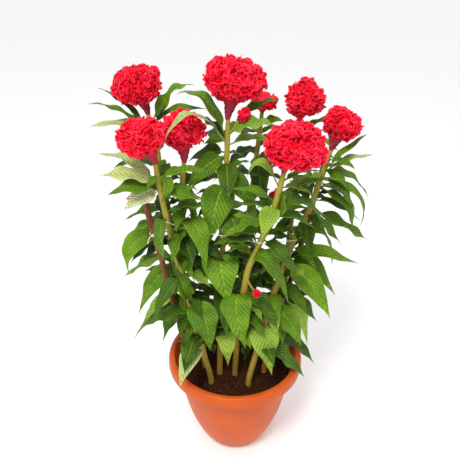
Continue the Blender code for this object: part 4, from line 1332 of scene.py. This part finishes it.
def wood_look(mottling):
    made, tree, clouds = look("weathered_stake", 0.12, mottling, 45.0, 500.0)
    grain = tree.streaks((300.0, 300.0, 9.0), 5.0, 0.7)
    colour = tree.ramp(grain, (0.3, (0.070, 0.020, 0.007)), (0.5, (0.18, 0.062, 0.022)),
                       (0.7, (0.31, 0.13, 0.055)))
    colour = tree.mix(tree.times(clouds["Cloud"], 0.2), colour, (0.25, 0.14, 0.08))
    colour = tree.mix(tree.attribute("cut"), colour, (0.62, 0.47, 0.28))
    return dressed(made, tree, colour, tree.stretch(grain, 0.3, 0.7, 0.85, 0.6), grain, 0.0009)


def pot_look(mottling):
    made, tree, clouds = look("terracotta_plastic", 0.22, mottling, 14.0, 900.0)
    colour = tree.ramp(clouds["Cloud"], (0.0, (0.49, 0.074, 0.006)), (1.0, (0.58, 0.096, 0.009)))
    height = tree.node("ShaderNodeSeparateXYZ", {"Vector": tree.place()}).outputs["Z"]
    dust = tree.times(tree.stretch(height, 0.03, 0.0), 0.35)
    colour = tree.mix(tree.times(dust, clouds["Grain"]), colour, (0.40, 0.24, 0.14))
    rough = tree.stretch(clouds["Grain"], 0.3, 0.7, 0.36, 0.50)
    return dressed(made, tree, colour, rough, clouds["Grain"], 0.00015)


def soil_look(mottling):
    made, tree, clouds = look("potting_mix", 0.1, mottling, 90.0, 450.0)
    colour = tree.ramp(clouds["Grain"], (0.3, (0.007, 0.002, 0.001)), (0.52, (0.034, 0.011, 0.004)),
                       (0.72, (0.13, 0.050, 0.020)))
    colour = tree.mix(tree.times(clouds["Cloud"], 0.35), colour, (0.050, 0.014, 0.006))
    rough = tree.stretch(clouds["Grain"], 0.3, 0.7, 0.98, 0.85)
    return dressed(made, tree, colour, rough, clouds["Grain"], 0.002)


def fibre_look(mottling):
    made, tree, clouds = look("coir_fibre", 0.25, mottling, 160.0, 700.0)
    colour = tree.ramp(clouds["Cloud"], (0.0, (0.040, 0.012, 0.004)), (0.55, (0.17, 0.065, 0.022)),
                       (1.0, (0.48, 0.26, 0.12)))
    return dressed(made, tree, colour, tree.stretch(clouds["Grain"], 0.3, 0.7, 0.95, 0.7))


def string_look(mottling):
    made, tree, clouds = look("pale_string", 0.3, mottling, 200.0, 1500.0)
    colour = tree.ramp(clouds["Cloud"], (0.0, (0.55, 0.52, 0.44)), (1.0, (0.82, 0.80, 0.74)))
    rough = tree.stretch(clouds["Grain"], 0.3, 0.7, 0.7, 0.9)
    return dressed(made, tree, colour, rough, clouds["Grain"], 0.0003)


def make_stakes(wood):
    """The four stakes with uneven sides and a pale cut top."""
    for number, (name, ends) in enumerate(STAKES.items()):
        low, high = stake_line(*ends)
        line = [low.lerp(high, k / (STAKE_STEPS - 1)) for k in range(STAKE_STEPS)]
        draw = random.Random(SEED + number)
        shifts = [draw.uniform(0, 6.28) for _ in range(3)]
        ripple = lambda share, angle: (0.035 * math.sin(17 * share + shifts[0] + angle)
                                       + 0.03 * math.sin(3 * angle + 9 * share + shifts[1])
                                       + 0.02 * math.sin(61 * share + 2 * angle + shifts[2]) - 0.03)
        solid = Solid("cut")
        points, faces = tube(line, [STAKE_RADIUS] * STAKE_STEPS, STAKE_SIDES, ripple)
        solid.add(points, faces[:-1], 0)
        solid.add(points[-STAKE_SIDES:], [tuple(range(STAKE_SIDES))], 0, cut=1.0)
        solid.piece("grained_" + name, (wood,), "stake_wood", name)


def make_string(string):
    """Two strands twisted round the taut loop, with a knot and its two short ends at the left stake."""
    reach = (STAKE_RADIUS + STRING_RADIUS + 2 * GAP) / math.cos(math.radians(WRAP_STEP / 2))
    ring = [seen(*place) for place in STRING_ROUTE]
    for stake, height, first in STRING_WRAPS:
        for k in range(WRAP_TURNS):
            angle = math.radians(first + WRAP_STEP * k)
            ring.append(stake_at(stake, height) + reach * Vector((math.cos(angle), math.sin(angle), 0)))
        if stake == "stake_right":
            ring += [Vector(place) for place in STRING_BACK]
    line = spaced(ring + ring[:1], STRING_STEPS)
    solid = Solid()
    for strand in range(2):
        path, turn = [], math.pi * strand
        for k, point in enumerate(line):
            ahead = (line[min(k + 1, STRING_STEPS - 1)] - line[max(k - 1, 0)]).normalized()
            across = ahead.cross(UP).normalized()
            turn += STRAND_TURN
            path.append(point + Quaternion(ahead, turn) @ across * STRING_RADIUS * STRAND_AWAY)
        solid.add(*tube(path, [STRAND_RADIUS] * STRING_STEPS, 6), 0)
    knot = stake_at(*STRING_WRAPS[1][:2]) + reach * Vector((-0.05, -1.0, 0))
    coil = []
    for a in np.linspace(0, 4 * math.pi, 40):
        across, front = math.cos(a) * (1 + 0.4 * math.sin(2 * a)), -0.4 - 0.5 * math.cos(3 * a)
        coil.append(knot + KNOT_SIZE * Vector((across, front, math.sin(a))))
    ends = [smooth([knot, knot + Vector((0.006 * side, -0.004, -0.003)),
                    knot + Vector((0.010 * side, -0.003, -0.016))], 14) for side in (-1, 1)]
    for path in (coil, *ends):
        solid.add(*tube(path, [KNOT_RADIUS] * len(path), 8), 0)
    solid.piece("twisted_string", (string,), "string", "tie_string")


def crumb_tree(crumbs, fibres):
    """Crumbs and coir fibres strewn over a soil surface, realised and joined to it."""
    made, given = geometry_tree("strewn_crumbs", {"Crumb Density": 17000.0, "Fibre Density": 11000.0,
                                                  "Crumb Size": 0.0027, "Fibre Length": 0.011,
                                                  "Fibre Thickness": 0.00045})
    crumb = made.result("GeometryNodeMeshIcoSphere", {"Radius": given["Crumb Size"], "Subdivisions": 1})
    fibre = made.result("GeometryNodeMeshCylinder", {"Vertices": 4, "Radius": given["Fibre Thickness"],
                                                     "Depth": given["Fibre Length"]})
    size = made.chance((0.45, 0.45, 0.35), (1.25, 1.25, 1.1), 5)
    parts = [given["Geometry"]]
    for shape, density, look, least_tilt, most_tilt in ((crumb, "Crumb Density", crumbs, 0.0, 1.35),
                                                        (fibre, "Fibre Density", fibres, 1.35, 1.70)):
        strewn = made.result("GeometryNodeDistributePointsOnFaces",
                             {"Mesh": given["Geometry"], "Density": given[density], "Seed": given["Seed"]})
        spin = made.chance((least_tilt, 0.0, 0.0), (most_tilt, 0.3, 6.28), 3)
        set_down = made.result("GeometryNodeInstanceOnPoints",
                               {"Points": strewn, "Instance": shape, "Rotation": spin, "Scale": size})
        real = made.result("GeometryNodeRealizeInstances", {"Geometry": set_down})
        parts.append(made.result("GeometryNodeSetMaterial", {"Geometry": real, "Material": look}))
    return made.ended(made.join(*parts))


def soil_height(x, y):
    return SOIL_TOP + SOIL_MOUND * (1 - (x * x + y * y) / MOUND_RADIUS**2)


def make_soil(soil, fibre):
    """The soil's uneven top strewn with crumbs and fibres, over a plain filled body."""
    points, faces = lathed([(SOIL_RADIUS * r / SOIL_RINGS, 0.0) for r in range(SOIL_RINGS + 1)], SOIL_SIDES)
    points = np.array(points)
    bumps = (0.0022 * noise_field(points, 0.030, 4) + 0.0012 * noise_field(points, 0.011, 5)
             + 0.0005 * noise_field(points, 0.005, 6))
    edge = np.clip((SOIL_RADIUS - np.hypot(points[:, 0], points[:, 1])) / 0.006, 0, 1)
    points[:, 2] = soil_height(points[:, 0], points[:, 1]) + bumps * edge - 0.0006
    spare = SOIL_SIDES - 1
    faces = [tuple(v - spare for v in face) for face in faces if min(face) >= SOIL_SIDES]
    bed = bpy.data.meshes.new("soil_top")
    bed.from_pydata(points[spare:].tolist(), [], faces)
    bed.update()
    bed.materials.append(soil)
    shaped = baked(bed, crumb_tree(soil, fibre), seed=SEED, fibre_length=0.012)
    finished("strewn_soil_top", shaped, "soil")
    frame["nodes"]["soil"].data.materials.clear()
    frame["nodes"]["soil"].data.materials.append(soil)


def make_stage():
    """A wide pale floor under the pot."""
    mesh = bpy.data.meshes.new("floor")
    corners = [(x * FLOOR_REACH, y * FLOOR_REACH, 0) for x, y in ((-1, -1), (1, -1), (1, 1), (-1, 1))]
    mesh.from_pydata(corners, [], [(0, 1, 2, 3)])
    pale = bpy.data.materials.new("pale_floor")
    pale.use_nodes = True
    shader = pale.node_tree.nodes["Principled BSDF"].inputs
    shader["Base Color"].default_value = (0.94, 0.94, 0.94, 1.0)
    shader["Roughness"].default_value = 0.9
    shader["Specular IOR Level"].default_value = 0.1
    mesh.materials.append(pale)
    floor = in_scene("floor", mesh)


def make_light():
    """An even, nearly white surround and one soft light from the front left."""
    world = bpy.data.worlds.new("studio")
    world.use_nodes = True
    background = world.node_tree.nodes["Background"].inputs
    background["Color"].default_value = (1.0, 1.0, 1.0, 1.0)
    background["Strength"].default_value = 0.98
    bpy.context.scene.world = world
    bpy.context.scene.view_settings.view_transform = "Standard"
    data = bpy.data.lights.new("key", "AREA")
    data.shape, data.size, data.energy = "DISK", 0.7, 40
    lamp = in_scene("key", data)
    lamp.location = KEY_PLACE
    lamp.rotation_euler = (KEY_TARGET - KEY_PLACE).to_track_quat("-Z", "Y").to_euler()


def make_camera():
    """The camera of the reference view."""
    data = bpy.data.cameras.new("view")
    data.sensor_fit = "HORIZONTAL"
    data.sensor_width = 36.0
    data.lens = data.sensor_width * EYE_FOCAL / (2 * FRAME_MIDDLE)
    camera = in_scene("view", data)
    camera.location = EYE
    camera.rotation_euler = (math.pi / 2 - EYE_PITCH, 0, 0)
    bpy.context.scene.camera = camera


make_camera()
make_light()
make_stage()
mottling = mottling_group()
LINES = {name: stem_line(stem) for name, stem in STEMS.items()}
make_pot(pot_look(mottling))
make_soil(soil_look(mottling), fibre_look(mottling))
make_stakes(wood_look(mottling))
make_string(string_look(mottling))
petals = petal_look(mottling)
frills = frill_tree(petals)
make_blooms(LINES, petals, frills)
make_side_blooms(LINES, petals, frills)
make_leafy_stems(LINES, leaf_look(mottling, leaf_vein_group()), stem_look(mottling))
